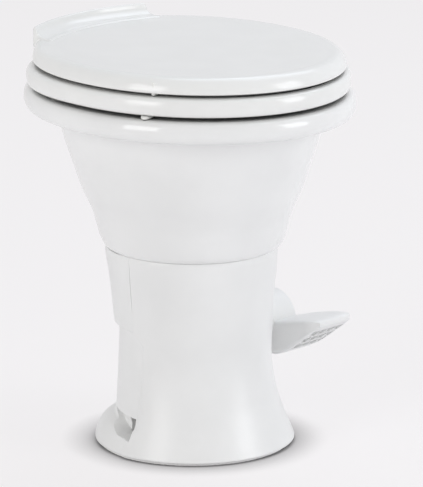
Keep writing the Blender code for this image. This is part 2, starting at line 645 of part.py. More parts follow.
# Hinge posts, bolts and pins
pin_radius = 0.003
pin_hole_radius = 0.0033
post_inner = 0.052
post_outer = 0.068
knuckle_radius = 0.0065
post_hole = rod("post_holes", 0.0043, 0.430, 0.450, (hinge_x, hinge_bolt_y, 0), helper=True)
mirrored(post_hole)
pin_holes = rod("pin_holes", pin_hole_radius, 0.027, 0.090, (0, hinge_y, hinge_z), 1, helper=True)
mirrored(pin_holes)
wing_low = 0.3975
wing_high = 0.4060
for label, side in sides:
    name = "hinge_post_" + label
    xs = sorted((side * post_inner, side * post_outer))
    hinge_spot = (side * hinge_x, hinge_bolt_y, 0)
    post = rod(name, 0.0120, rim_top + fit_gap, 0.4420, hinge_spot, steps=24)
    own_material(post, white_share, 0.30)
    join(post, block(name + "_stem", (xs[0] + fit_gap, 0.1660, 0.4410), (xs[1] - fit_gap, 0.1780, hinge_z), True))
    join(post, rod(name + "_knuckle", knuckle_radius, xs[0], xs[1], (0, hinge_y, hinge_z), 1, helper=True))
    cut(post, post_hole)
    cut(post, pin_holes)
    hinge_pin = rod("hinge_pin_" + label, pin_radius, 0.0290, 0.0785, (0, hinge_y, hinge_z), side, steps=12)
    own_material(hinge_pin, steel_share, 0.30, 1.0)
    hinge_bolt = rod("hinge_bolt_" + label, 0.0038, 0.3920, 0.4497, hinge_spot, steps=12)
    own_material(hinge_bolt, cream_share, 0.40)
    wing_nut = sleeve("wing_nut_" + label, 0.0065, 0.0042, 0.4010, 0.4102, hinge_spot, steps=12)
    own_material(wing_nut, cream_share, 0.40)
    for part, near, far in (("near", 0.0450, 0.0548), ("far", 0.0652, 0.0750)):
        xs = sorted((side * near, side * far))
        join(wing_nut, block("wing_" + part + label, (xs[0], 0.1688, wing_low), (xs[1], 0.1712, wing_high), True))

# Seat ring: sections as half width, front and rear reach, middle, rear squareness, height
seat_sections = (
    (0.1760, 0.1985, 0.1790, 0.0, 2.5, 0.4660), (0.1800, 0.2025, 0.1825, 0.0, 2.5, 0.4640),
    (0.1815, 0.2040, 0.1840, 0.0, 2.5, 0.4600), (0.1815, 0.2040, 0.1840, 0.0, 2.5, 0.4490),
    (0.1800, 0.2025, 0.1825, 0.0, 2.5, 0.4450), (0.1765, 0.1990, 0.1795, 0.0, 2.5, 0.4430),
    (0.1155, 0.1355, 0.1355, -0.018, 2.0, 0.4430), (0.1120, 0.1320, 0.1320, -0.018, 2.0, 0.4465),
    (0.1120, 0.1320, 0.1320, -0.018, 2.0, 0.4560), (0.1180, 0.1380, 0.1380, -0.018, 2.0, 0.4630),
    (0.1290, 0.1490, 0.1490, -0.018, 2.0, 0.4660),
)
seat = loft("seat", [oval(a, front, rear, mid, z, power) for a, front, rear, mid, power, z in seat_sections], True)
own_material(seat, white_share, 0.15)
notches = block("notches", (0.040, 0.150, 0.430), (0.080, 0.210, 0.480), True)
mirrored(notches)
cut(seat, notches)
swing_room = block("swing_room", (-0.041, 0.1790, 0.430), (0.041, 0.210, 0.480), True)
cut(seat, swing_room)
cut(seat, pin_holes)
ride(seat, seat_axis)
bumper_x = 0.150
bumper_y = 0.0757
for label, side in sides:
    for row, end in (("front", -1), ("rear", 1)):
        seat_bumper = rod("seat_bumper_" + row + "_" + label, 0.0070, rim_top + fit_gap, 0.4427,
                          (side * bumper_x, end * bumper_y, 0))
        own_material(seat_bumper, white_share, 0.60)
        ride(seat_bumper, seat_axis)

# Lid: thin moulded shell, its rear edge swept up into a bowed lip
lid_sections = (
    (0.1200, 0.1400, 0.1400, 0.4890), (0.1600, 0.1825, 0.1820, 0.4880), (0.1670, 0.1895, 0.1880, 0.4866),
    (0.1705, 0.1935, 0.1905, 0.4840), (0.1740, 0.1970, 0.1915, 0.4780), (0.1755, 0.1985, 0.1915, 0.4730),
    (0.1745, 0.1975, 0.1905, 0.4700), (0.1725, 0.1955, 0.1885, 0.4695), (0.1690, 0.1920, 0.1850, 0.4695),
    (0.1665, 0.1895, 0.1825, 0.4740), (0.1640, 0.1870, 0.1805, 0.4825), (0.1200, 0.1400, 0.1350, 0.4855),
)
lid_power = 2.15
lid = loft("lid", [oval(a, front, rear, 0, z, lid_power) for a, front, rear, z in lid_sections])
own_material(lid, white_share, 0.15)
lip_half = 0.097
lip_end_y = 0.169
lip_bow = 0.0215
lip_stations = 10
lip_section = (
    (0, 0.4760), (0, 0.4970), (-0.0015, 0.5010), (-0.0045, 0.5020), (-0.0075, 0.4995), (-0.0105, 0.4950),
    (-0.0175, 0.4905), (-0.0300, 0.4878), (-0.0300, 0.4845), (-0.0060, 0.4800),
)
lip_rings = []
for i in range(lip_stations + 1):
    x = lip_half * (2 * i / lip_stations - 1)
    back = lip_end_y + lip_bow * (1 - (x / lip_half) ** 2)
    lip_rings.append([(x, back + shift, z) for shift, z in lip_section])
lip = loft("lip", lip_rings, helper=True, fan=False)
join(lid, lip)
for label, near, far in (("near", 0.042, 0.050), ("far", 0.070, 0.078)):
    lug = block("lug_" + label, (near + fit_gap, 0.1660, hinge_z), (far - fit_gap, 0.1780, 0.4845), True)
    mirrored(lug)
    join(lid, lug)
    eye = rod("eye_" + label, knuckle_radius, near, far, (0, hinge_y, hinge_z), 1, helper=True)
    mirrored(eye)
    join(lid, eye)
cut(lid, pin_holes)
ride(lid, lid_axis)
lid_bumper_x = 0.129
lid_bumper_y = 0.0737
for label, side in sides:
    lid_bumper = rod("lid_bumper_" + label, 0.0060, 0.4663, 0.4831, (side * lid_bumper_x, -lid_bumper_y, 0))
    own_material(lid_bumper, white_share, 0.60)
    ride(lid_bumper, lid_axis)
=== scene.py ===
import bmesh
import bpy
import numpy as np
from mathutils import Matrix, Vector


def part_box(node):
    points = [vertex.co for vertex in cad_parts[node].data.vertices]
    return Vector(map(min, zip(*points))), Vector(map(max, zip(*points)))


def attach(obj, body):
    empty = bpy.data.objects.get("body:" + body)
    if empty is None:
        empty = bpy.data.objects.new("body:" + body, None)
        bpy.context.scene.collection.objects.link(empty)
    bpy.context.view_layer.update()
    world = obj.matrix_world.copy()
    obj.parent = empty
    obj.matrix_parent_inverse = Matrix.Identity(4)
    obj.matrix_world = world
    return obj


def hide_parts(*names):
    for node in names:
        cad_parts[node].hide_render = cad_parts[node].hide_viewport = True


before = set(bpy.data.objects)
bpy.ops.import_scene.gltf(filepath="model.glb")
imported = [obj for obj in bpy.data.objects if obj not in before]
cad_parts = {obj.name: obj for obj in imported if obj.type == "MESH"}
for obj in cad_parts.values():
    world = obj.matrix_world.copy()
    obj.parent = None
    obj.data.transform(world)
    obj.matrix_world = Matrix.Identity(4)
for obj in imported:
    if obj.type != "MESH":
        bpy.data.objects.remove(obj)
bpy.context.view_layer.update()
mm = 0.001
print("frame ready:", len(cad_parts), "nodes")


def linearColour(hexText):
    # sRGB hex to linear light: the usual power curve with its straight foot
    srgb = np.array([int(hexText[i:i + 2], 16) for i in (1, 3, 5)]) / 255
    linear = np.where(srgb <= 0.04045, srgb / 12.92, ((srgb + 0.055) / 1.055) ** 2.4)
    return (*linear.tolist(), 1.0)


def addNode(tree, kind, settings, links=()):
    # one node: settings go to its sockets by name, or to its own properties; links are (socket, output) pairs
    node = tree.nodes.new(kind)
    for name, value in settings.items():
        if name in node.inputs:
            node.inputs[name].default_value = value
        else:
            setattr(node, name, value)
    for socket, output in links:
        tree.links.new(output, node.inputs[socket])
    return node


finishFacts = {
    # vitreous china, slip-cast with a sprayed glaze: mirror gloss that ripples slowly, with faint pools
    "glazedChina": dict(body="#F2F2F1", pool="#ECECEB", patchMm=85, patchShare=0.6, rough=0.09,
                        # its last share is painted shade in narrow gaps, not a tone of the glaze
                        roughSpread=0.04, grainMm=26, grainHeightMm=0.009, ior=1.52, paintedGapShade=0.14),
    # gloss polypropylene, injection moulded in a polished tool: soft reflections and long faint flow marks
    "glossPolypropylene": dict(body="#F2F2F0", pool="#ECECEA", patchMm=60, patchShare=0.5, rough=0.13,
                               # its last share is painted shade in narrow gaps, not a tone of the plastic
                               roughSpread=0.05, grainMm=18, grainHeightMm=0.01, ior=1.49, paintedGapShade=0.14),
    # satin polypropylene of the pedestal, spark-eroded tool: broad highlight, fine tooth drawn at 1.1 mm
    "satinPolypropylene": dict(body="#F0F0EF", pool="#EAEAE9", patchMm=70, patchShare=0.6, rough=0.36,
                               roughSpread=0.1, grainMm=1.1, grainHeightMm=0.012, ior=1.49),
    # white rubber buffer, pressed: matt and slightly powdery
    "whiteRubber": dict(body="#F2F2EE", pool="#EAEAE6", patchMm=6, patchShare=0.7, rough=0.68,
                        roughSpread=0.12, grainMm=0.8, grainHeightMm=0.015, ior=1.52),
    # black EPDM seal rubber: near black, matt, with a grey bloom
    "blackRubber": dict(body="#232323", pool="#343434", patchMm=9, patchShare=0.7, rough=0.66,
                        roughSpread=0.14, grainMm=0.9, grainHeightMm=0.02, ior=1.52),
    # grey sponge rubber of the floor seal: open pores, drawn at 1.5 mm
    "spongeRubber": dict(body="#7F8183", pool="#66686A", patchMm=5, patchShare=0.9, rough=0.88,
                         roughSpread=0.08, grainMm=1.5, grainHeightMm=0.12, ior=1.5),
    # black ABS of the ball valve: deep colour with a soft sheen
    "blackAbs": dict(body="#2A2B2C", pool="#323334", patchMm=20, patchShare=0.6, rough=0.34,
                     roughSpread=0.1, grainMm=1.2, grainHeightMm=0.012, ior=1.53),
    # natural nylon: milky cream, slightly waxy
    "creamNylon": dict(body="#DEDDD6", pool="#D3D1C8", patchMm=12, patchShare=0.7, rough=0.42,
                       roughSpread=0.1, grainMm=1.0, grainHeightMm=0.012, ior=1.53),
    # glass-filled grey nylon of clamp and spring case: matt with pale fibre ends
    "greyNylon": dict(body="#6B6D70", pool="#7C7E80", patchMm=3, patchShare=0.8, rough=0.52,
                      roughSpread=0.12, grainMm=0.9, grainHeightMm=0.02, ior=1.53),
    # soft grey PVC hose: smooth extruded skin
    "hosePvc": dict(body="#8C8F91", pool="#818486", patchMm=14, patchShare=0.6, rough=0.38,
                    roughSpread=0.1, grainMm=2.5, grainHeightMm=0.015, ior=1.53),
    # machined brass: yellow metal with fine turning marks and dull patches
    "turnedBrass": dict(body="#D2AE64", pool="#B98F4B", patchMm=7, patchShare=0.7, rough=0.3,
                        roughSpread=0.14, grainMm=0.8, grainHeightMm=0.01, metallic=1.0),
    # zinc-plated steel: cool grey metal, cloudy gloss
    "zincSteel": dict(body="#BFC2C4", pool="#A7ABB0", patchMm=6, patchShare=0.8, rough=0.32,
                      roughSpread=0.16, grainMm=1.0, grainHeightMm=0.01, metallic=1.0),
}
# painted gap shade: how far a narrow gap is felt, and the openness at which the painted shade is deepest and
# the tone back to full
paintedGapShadeFacts = {"reachMm": 9, "closed": 0.1, "open": 0.55}


def makeFinish(name, facts):
    # object-space noise blends two near colours and shifts the gloss between two bounds; a second noise at
    # grain size lifts the bump
    finish = bpy.data.materials.new(name)
    finish.use_nodes = True
    tree = finish.node_tree
    tree.nodes.clear()
    place = addNode(tree, "ShaderNodeTexCoord", {})
    patch = addNode(tree, "ShaderNodeTexNoise", {"Scale": 1 / (facts["patchMm"] * mm), "Detail": 3.0},
                    [("Vector", place.outputs["Object"])])
    share = addNode(tree, "ShaderNodeMapRange",
                    {"From Min": 0.35, "From Max": 0.65, "To Max": facts["patchShare"]},
                    [("Value", patch.outputs["Fac"])])
    tint = addNode(tree, "ShaderNodeMix", {"data_type": "RGBA"}, [("Factor", share.outputs["Result"])])
    tint.inputs[6].default_value = linearColour(facts["body"])
    tint.inputs[7].default_value = linearColour(facts["pool"])
    rough, spread = facts["rough"], facts["roughSpread"] / 2
    gloss = addNode(tree, "ShaderNodeMapRange",
                    {"From Min": 0.3, "From Max": 0.7, "To Min": rough - spread, "To Max": rough + spread},
                    [("Value", patch.outputs["Fac"])])
    grain = addNode(tree, "ShaderNodeTexNoise", {"Scale": 1 / (facts["grainMm"] * mm), "Detail": 2.0},
                    [("Vector", place.outputs["Object"])])
    relief = addNode(tree, "ShaderNodeBump", {"Strength": 1.0, "Distance": facts["grainHeightMm"] * mm},
                     [("Height", grain.outputs["Fac"])])
    # where a finish gives a gap share, narrow gaps are painted darker, down to that share of the tone:
    # painted shade for the bounced light that thins out there
    gap = addNode(tree, "ShaderNodeAmbientOcclusion", {"Distance": paintedGapShadeFacts["reachMm"] * mm, "samples": 8})
    depth = addNode(tree, "ShaderNodeMapRange",
                    {"From Min": paintedGapShadeFacts["closed"], "From Max": paintedGapShadeFacts["open"],
                     "To Min": facts.get("paintedGapShade", 1.0)}, [("Value", gap.outputs["AO"])])
    # the colour times the painted gap shade
    tonedWithPaintedShade = addNode(tree, "ShaderNodeVectorMath", {"operation": "SCALE"},
                    [(0, tint.outputs[2]), ("Scale", depth.outputs["Result"])])
    shader = addNode(tree, "ShaderNodeBsdfPrincipled", {"Metallic": facts.get("metallic", 0.0)},
                     [("Base Color", tonedWithPaintedShade.outputs[0]), ("Roughness", gloss.outputs["Result"]),
                      ("Normal", relief.outputs["Normal"])])
    if "ior" in facts:
        shader.inputs["IOR"].default_value = facts["ior"]
    addNode(tree, "ShaderNodeOutputMaterial", {}, [("Surface", shader.outputs["BSDF"])])
    return finish


finishes = {name: makeFinish(name, facts) for name, facts in finishFacts.items()}
print("finishes made:", len(finishes))


def smoothRows(knots, steps):
    # cubic through every knot, whose tangent there is the slope of the parabola through it and its neighbours
    k = np.asarray(knots, float)
    h = np.linalg.norm(np.diff(k, axis=0), axis=1)[:, None]
    slope = np.diff(k, axis=0) / h
    inner = (slope[1:] * h[:-1] + slope[:-1] * h[1:]) / (h[1:] + h[:-1])
    m = np.vstack([slope[:1], inner, slope[-1:]])
    t = (np.arange(steps) / steps)[None, :, None]
    rows = ((2 * t ** 3 - 3 * t ** 2 + 1) * k[:-1, None] + (t ** 3 - 2 * t ** 2 + t) * (h * m[:-1])[:, None]
            + (3 * t ** 2 - 2 * t ** 3) * k[1:, None] + (t ** 3 - t ** 2) * (h * m[1:])[:, None])
    return np.vstack([rows.reshape(-1, k.shape[1]), k[-1:]])


def softCorners(points, radius, steps=4, closed=True):
    # every corner becomes a parabola arc that starts and ends one radius away, or less on a short side
    p = np.asarray(points, float)
    before, after = np.roll(p, 1, axis=0) - p, np.roll(p, -1, axis=0) - p
    lengthBefore = np.linalg.norm(before, axis=1)[:, None]
    lengthAfter = np.linalg.norm(after, axis=1)[:, None]
    reach = np.minimum(radius, 0.48 * np.minimum(lengthBefore, lengthAfter))
    start, end = p + before / lengthBefore * reach, p + after / lengthAfter * reach
    t = np.linspace(0, 1, steps + 1)[None, :, None]
    arcs = (1 - t) ** 2 * start[:, None] + 2 * t * (1 - t) * p[:, None] + t ** 2 * end[:, None]
    if closed:
        return arcs.reshape(-1, p.shape[1])
    return np.vstack([p[:1], arcs[1:-1].reshape(-1, p.shape[1]), p[-1:]])


def ovalRings(sections, columns):
    # section: half width, front reach, rear reach, middle, rear power, height; an ellipse in front, and
    # behind a superellipse whose reach is (|cos|^p + |sin|^p)^(-1/p)
    a, front, rear, middle, power, height = (v[:, None] for v in np.asarray(sections, float).T)
    angle = np.linspace(0, 2 * np.pi, columns, endpoint=False)[None, :]
    c, s = np.cos(angle), np.sin(angle)
    reach = np.where(s > 0, (np.abs(c) ** power + np.abs(s) ** power) ** (-1 / power), 1.0)
    x = a * c * reach
    y = middle + np.where(s > 0, rear, front) * s * reach
    return np.stack([x, y, height + 0 * x], axis=-1)


def turnedRings(profile, centre, axis="z", columns=64):
    # profile of radius and height carried round an axis through centre
    r, h = np.asarray(profile, float).T[:, :, None]
    angle = np.linspace(0, 2 * np.pi, columns, endpoint=False)[None, :]
    u, v, w = r * np.cos(angle), r * np.sin(angle), h + 0 * angle
    order = {"z": (u, v, w), "x": (w, u, v), "y": (v, w, u)}[axis]
    return np.stack(order, axis=-1) + np.asarray(centre, float)


def tubeRings(path, radius, columns):
    # circle carried along a path; each next cross direction is the last one without its share along the path
    p = np.asarray(path, float)
    tangent = np.gradient(p, axis=0)
    tangent /= np.linalg.norm(tangent, axis=1)[:, None]
    side = np.zeros_like(p)
    current = np.cross(tangent[0], (0.3, 0.9, 0.1))
    for i, way in enumerate(tangent):
        current = current - way * np.dot(current, way)
        current /= np.linalg.norm(current)
        side[i] = current
    other = np.cross(tangent, side)
    angle = np.linspace(0, 2 * np.pi, columns, endpoint=False)[None, :, None]
    return p[:, None] + radius * (np.cos(angle) * side[:, None] + np.sin(angle) * other[:, None])


def shellParts(grid, wrapRows):
    # points and faces of one closed shell: quads between neighbouring rings, and, where the rings don't wrap,
    # a fan from a middle point to each end ring; all faces turn over where the enclosed volume is negative
    rows, columns = grid.shape[:2]
    index = np.arange(rows * columns).reshape(rows, columns)
    upper, lower = (index, np.roll(index, -1, axis=0)) if wrapRows else (index[:-1], index[1:])
    quads = np.stack([upper, lower, np.roll(lower, -1, axis=1), np.roll(upper, -1, axis=1)], -1)
    quads = quads.reshape(-1, 4)
    points, fans = grid.reshape(-1, 3), np.zeros((0, 3), int)
    if not wrapRows:
        points = np.vstack([points, grid[0].mean(axis=0), grid[-1].mean(axis=0)])
        first, last = index[0], index[-1]
        fans = np.vstack([np.column_stack([np.roll(first, -1), np.full(columns, rows * columns), first]),
                          np.column_stack([last, np.full(columns, rows * columns + 1), np.roll(last, -1)])])
    corners = np.vstack([quads[:, [0, 1, 2]], quads[:, [0, 2, 3]], fans])
    a, b, c = (points[corners[:, i]] for i in range(3))
    if np.einsum("ij,ij->i", a, np.cross(b, c)).sum() < 0:
        quads, fans = quads[:, ::-1], fans[:, ::-1]
    return points, quads, fans


def makePiece(name, grids, finish, body, wrapRows=False):
    # closed shells from ring grids, one mesh with its place in its points
    points, faces = [], []
    for grid in grids:
        shell, quads, fans = shellParts(grid, wrapRows)
        faces += (quads + len(points)).tolist() + (fans + len(points)).tolist()
        points += shell.tolist()
    mesh = bpy.data.meshes.new(name)
    mesh.from_pydata(points, [], faces)
    tidyMesh(mesh)
    piece = bpy.data.objects.new(name, mesh)
    bpy.context.scene.collection.objects.link(piece)
    mesh.materials.append(finishes[finish])
    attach(piece, body)
    return piece


def tidyMesh(mesh, sharpDegrees=50):
    # merges doubles, shades smooth and keeps only true corners hard
    data = bmesh.new()
    data.from_mesh(mesh)
    bmesh.ops.remove_doubles(data, verts=data.verts, dist=0.002 * mm)
    data.to_mesh(mesh)
    data.free()
    mesh.shade_smooth()
    mesh.set_sharp_from_angle(angle=np.radians(sharpDegrees))


def carve(piece, grids):
    # takes closed cutter shells out of a piece; the result is its mesh, all in the piece's own finish
    finish = piece.data.materials[0]
    cutter = makePiece("cutter", grids, "blackAbs", "base")
    cutting = piece.modifiers.new("carve", "BOOLEAN")
    cutting.object = cutter
    cutting.solver = "MANIFOLD"
    carved = bpy.data.meshes.new_from_object(piece.evaluated_get(bpy.context.evaluated_depsgraph_get()))
    piece.modifiers.remove(cutting)
    piece.data = carved
    bpy.data.objects.remove(cutter, do_unlink=True)
    carved.materials.clear()
    carved.materials.append(finish)
    tidyMesh(carved, sharpDegrees=40)


def boxRings(low, high, corner):
    # box as two rings, bottom and top, each a rectangle with softened corners
    (x0, y0, z0), (x1, y1, z1) = low, high
    outline = softCorners([(x0, y0), (x1, y0), (x1, y1), (x0, y1)], corner, steps=3)
    return np.stack([np.column_stack([outline, np.full(len(outline), z)]) for z in (z0, z1)])


def prismRings(outline, near, far, edge):
    # side view carried along X; over the last stretch at each end it draws in by up to the edge's size
    middle = outline.mean(axis=0)
    along = np.array([near, near + 0.3 * edge, near + edge, far - edge, far - 0.3 * edge, far])
    inset = np.array([edge, 0.3 * edge, 0, 0, 0.3 * edge, edge])
    reach = np.linalg.norm(outline - middle, axis=1)
    rings = middle + (outline - middle)[None] * (1 - inset[:, None] / reach[None])[..., None]
    return np.stack([along[:, None] + 0 * rings[..., 0], rings[..., 0], rings[..., 1]], -1)


bowlFacts = {
    "columns": 160,
    "steps": 4,
    "rimTop": 438.5,
    # millimetres: half width, half depth, middle, height down the outside
    "outside": [
        (136.5, 154.5, -4, 438), (145, 164, -3, 438.5), (165, 186, -1, 438.5), (178, 200.5, 0, 438.1),
        (183.8, 206.3, 0, 435.9), (186.8, 209.3, 0, 431.5), (187.5, 210, 0, 426.2),
        (187.2, 209.7, 0, 420.5), (185.3, 207.8, 0, 415.6), (181.2, 203.7, 0, 412.2),
        (174.5, 196, -0.4, 411.2), (162, 180.6, -1, 411.2), (156, 173.7, -1, 409.7), (152, 169, -1, 405.5),
        (149.5, 165.5, -1.2, 396), (145.2, 159.7, -1.6, 376), (137.1, 148.1, -2.4, 346),
        (128.9, 136.6, -3.3, 316), (123.2, 129.4, -3.8, 302), (117.8, 121.9, -4.4, 286),
        (114.8, 117.1, -4.8, 271), (111.7, 112.3, -5.2, 257), (109.1, 109.1, -5.5, 250.8),
        (106.6, 106.6, -5.5, 247.7), (105.6, 105.6, -5.5, 246.9), (104, 104, -5.5, 246.6),
    ],
    # inside the body and round the drain's seat, out of sight
    "hidden": [
        (95, 95, -5.5, 246.6), (108.3, 112.4, -4.4, 286), (126.5, 136.5, -2.6, 343), (135, 150, -2, 385),
        (132.5, 146.2, -3.2, 387), (106, 113, -4, 350), (80, 82.5, -2.5, 313), (55, 55.5, -1, 272),
        (43, 43, 0, 248), (36, 36, 0, 210), (37, 37, 0, 190), (56, 56, 0, 189), (56, 56, 0, 181.1),
    ],
    # back up the wetted side, over the open rinse channel under the rim
    "basin": [
        (28.5, 28.5, 0, 181.1), (28, 28, 0, 182), (28.2, 28.2, 0, 200), (29, 29, 0, 225), (35, 35, 0, 248),
        (47, 47.5, -1, 272), (64, 65.5, -2, 300), (80, 84, -3, 326), (97, 104, -4, 350),
        (116, 127, -4, 376), (129, 144, -4, 393), (143, 160, -4, 408), (149, 167, -3.2, 415),
        (150.5, 168.6, -3, 421.5), (148.8, 166.8, -3.1, 428), (144, 162, -3.6, 429.8),
        (139.8, 157.8, -4, 427.8), (138.4, 156.4, -4, 423.7), (136.2, 154.2, -4, 422.6),
        (134, 152, -4, 423.7), (133.2, 151.2, -4, 427), (133.2, 151.2, -4, 434), (134.2, 152.2, -4, 436.7),
    ],
}


def bowlSections(rows):
    # four-value rows to the six values of an oval ring, both halves plain ellipses
    a, b, middle, height = np.asarray(rows, float).T
    return np.stack([a, b, b, middle, 2 + 0 * a, height], axis=1)


def makeBowl(facts):
    # one closed curve of oval rings: down the outside, through the hidden part and up the basin to the rim
    rows = np.vstack([smoothRows(facts["outside"], facts["steps"]), np.asarray(facts["hidden"], float),
                      smoothRows(facts["basin"], facts["steps"])])
    rows[:, 3] = np.minimum(rows[:, 3], facts["rimTop"])
    rings = ovalRings(bowlSections(rows * mm), facts["columns"])
    bowl = makePiece("bowlGlazed", [rings], "glazedChina", "base", True)
    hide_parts("bowl")


makeBowl(bowlFacts)
print("bowl made")


pedestalFacts = {
    "axisY": -0.0055,
    # height, place of the apron's rear edge, radius of its rounding
    "edge": [
        (0, -0.002, 0.016), (0.02, -0.0022, 0.017), (0.042, -0.0048, 0.018), (0.066, -0.0078, 0.012),
        (0.085, -0.0095, 0.007), (0.138, -0.0095, 0.006), (0.149, 0.0029, 0.0006), (0.246, 0.0029, 0.0006),
    ],
    "innerRound": 0.0022,
    "frontColumns": 60,
    "roundColumns": 12,
    "rearColumns": 44,
    # radius and height of the flared front apron and of the narrow shell behind it
    "apron": [
        (0.1012, 0.246), (0.1021, 0.2452), (0.1025, 0.2435), (0.1022, 0.23), (0.1018, 0.219),
        (0.0995, 0.196), (0.097, 0.15), (0.096, 0.102), (0.0995, 0.0765), (0.1045, 0.054), (0.109, 0.0415),
        (0.113, 0.0315), (0.1205, 0.013), (0.123, 0.0068), (0.1235, 0.0052), (0.1233, 0.0042),
        (0.1224, 0.0036), (0.119, 0.0034), (0.1178, 0.0028), (0.1176, 0),
    ],
    "shell": [
        (0.1008, 0.246), (0.1017, 0.2452), (0.102, 0.2435), (0.098, 0.219), (0.0938, 0.18), (0.0895, 0.142),
        (0.0903, 0.11), (0.0915, 0.08), (0.0932, 0.048), (0.0937, 0.04), (0.0942, 0.0368), (0.096, 0.0349),
        (0.1, 0.0338), (0.106, 0.031), (0.112, 0.0252), (0.116, 0.018), (0.1184, 0.009), (0.1188, 0.0052),
        (0.1186, 0.0042), (0.1178, 0.0036), (0.115, 0.0034), (0.1142, 0.0028), (0.114, 0),
    ],
    "heights": np.concatenate([np.linspace(0.246, 0.243, 8), np.linspace(0.24, 0.044, 60),
                               np.linspace(0.0425, 0.029, 26), np.linspace(0.028, 0.0065, 20),
                               np.linspace(0.0058, 0, 14)]),
    "wall": 0.006,
    # the shell stays this much inside the apron, and the swollen foot this much
    "ridgeStep": 0.0004,
    "footStep": 0.0008,
    # height over which the foot swells, and how far round it runs out (radians)
    "footHeight": 0.012,
    "footBlend": 0.35,
    # floor plate: shares of the way in to the drain's hole, then heights up the hole
    "plateShares": (0.25, 0.5, 0.75, 0.99, 1.0),
    "drainRadius": 0.0498,
    "drainHeights": (0.001, 0.006, 0.011, 0.012),
    # heights of the inner wall, whose lowest three lie at the pockets' root
    "innerHeights": [0.012, 0.04, 0.05, 0.056, 0.08, 0.14, 0.2, 0.244, 0.246],
    "pocketRoot": 0.057,
}


def radiusAt(profile, heights):
    # radius of a profile at given heights, read off its smooth curve
    curve = smoothRows(profile, 6)[::-1]
    return np.interp(heights, curve[:, 1], curve[:, 0])


def pedestalHalf(apron, shell, lowShare, edgeY, edgeRound, facts):
    # half plan curve at every height, from the front to the rear: apron arc, rounded edge that drops to the
    # shell along a quarter ellipse, small inner round, shell arc
    edge = edgeY - facts["axisY"]
    # near the floor the shell's foot swells to meet the apron's edge
    swollen = shell + (apron - facts["footStep"] - shell) * lowShare
    depth = apron - swollen
    inner = np.minimum(facts["innerRound"], 0.5 * depth)
    turn = np.minimum(edgeRound, 4 * depth)
    startAngle = np.arcsin((edge - turn) / apron)
    share = np.linspace(0, 1, facts["frontColumns"], endpoint=False)[None, :]
    angle = -np.pi / 2 + share * (startAngle + np.pi / 2)
    front = np.stack([apron * np.cos(angle), apron * np.sin(angle)], -1)
    beta = np.linspace(0, np.pi / 2, facts["roundColumns"])[None, :]
    radius = apron - (depth - inner) * (1 - np.cos(beta))
    y = edge - turn + turn * np.sin(beta)
    corner = np.stack([np.sqrt(radius ** 2 - y ** 2), y], -1)
    gamma = np.linspace(0, np.pi / 2, 6)[None, 1:]
    radius = swollen + inner * (1 - np.sin(gamma))
    y = edge + inner * (1 - np.cos(gamma))
    fillet = np.stack([np.sqrt(radius ** 2 - y ** 2), y], -1)
    endAngle = np.arcsin((edge + inner) / swollen)
    share = np.linspace(0, 1, facts["rearColumns"] + 1)[None, 1:]
    angle = endAngle + share * (np.pi / 2 - endAngle)
    radius = shell + (swollen - shell) * np.exp(-(angle - endAngle) / facts["footBlend"])
    rear = np.stack([radius * np.cos(angle), radius * np.sin(angle)], -1)
    return np.concatenate([front, corner, fillet, rear], axis=1)


def pedestalRings(facts):
    # plan curves down the outside, then in over the floor plate to the drain's hole and up the inner wall
    heights = facts["heights"][:, None]
    lowShare = np.clip((facts["footHeight"] - heights) / facts["footHeight"], 0, 1)
    level, edgeY, edgeRound = np.asarray(facts["edge"]).T
    edgeY, edgeRound = np.interp(heights, level, edgeY), np.interp(heights, level, edgeRound)
    apron = radiusAt(facts["apron"], heights)
    shell = np.minimum(radiusAt(facts["shell"], heights), apron - facts["ridgeStep"])
    half = pedestalHalf(apron, shell, lowShare, edgeY, edgeRound, facts)
    plan = np.concatenate([half, half[:, -2:0:-1] * (-1, 1)], axis=1)
    outside = np.concatenate([plan, np.broadcast_to(heights[:, :, None], (*plan.shape[:2], 1))], -1)
    outside[..., 1] += facts["axisY"]
    lowest = outside[-1]
    bearing = np.arctan2(lowest[:, 1], lowest[:, 0])
    circle = np.stack([np.cos(bearing), np.sin(bearing)], -1)
    hole = facts["drainRadius"] * circle
    rows = [lowest * (1 - t) + np.column_stack([hole, 0 * bearing]) * t for t in facts["plateShares"]]
    rows += [np.column_stack([hole, 0 * bearing + z]) for z in facts["drainHeights"]]
    high = np.array(facts["innerHeights"])
    radius = radiusAt(facts["shell"], high) - facts["wall"]
    radius[:3] = facts["pocketRoot"]
    wall = np.concatenate([radius[:, None, None] * circle + (0, facts["axisY"]),
                           np.broadcast_to(high[:, None, None], (len(high), len(bearing), 1))], -1)
    return np.concatenate([outside, np.array(rows), wall])


boltPocketFacts = {
    "corner": 0.003,
    # nearest and farthest x, then the side view: a well round the bolt, and its mouth
    "well": ((0.064, 0.088), [(-0.01, 0.012), (0.0105, 0.012), (0.02, 0.044), (-0.0105, 0.044)]),
    "mouth": ((0.08, 0.15), [(-0.01, 0.0205), (0.0105, 0.0232), (0.016, 0.0422), (-0.0105, 0.0418)]),
    # the shallow recess that runs on round the shell: radii about the pedestal's axis, then the side view
    "hollow": ((0.0885, 0.15), [(0.005, 0.0225), (0.0105, 0.0232), (0.056, 0.0442), (0.005, 0.0422)]),
    "hollowSteps": 10,
    "shellRadius": 0.0935,
}


def pocketRings(facts, side, part):
    # outline in the side view with softened corners, carried along X
    span, outline = facts[part]
    y, z = softCorners(outline, facts["corner"]).T
    ends = np.array(span)[:, None]
    return np.stack([ends + 0 * y, y + 0 * ends, z + 0 * ends], -1) * (side, 1, 1)


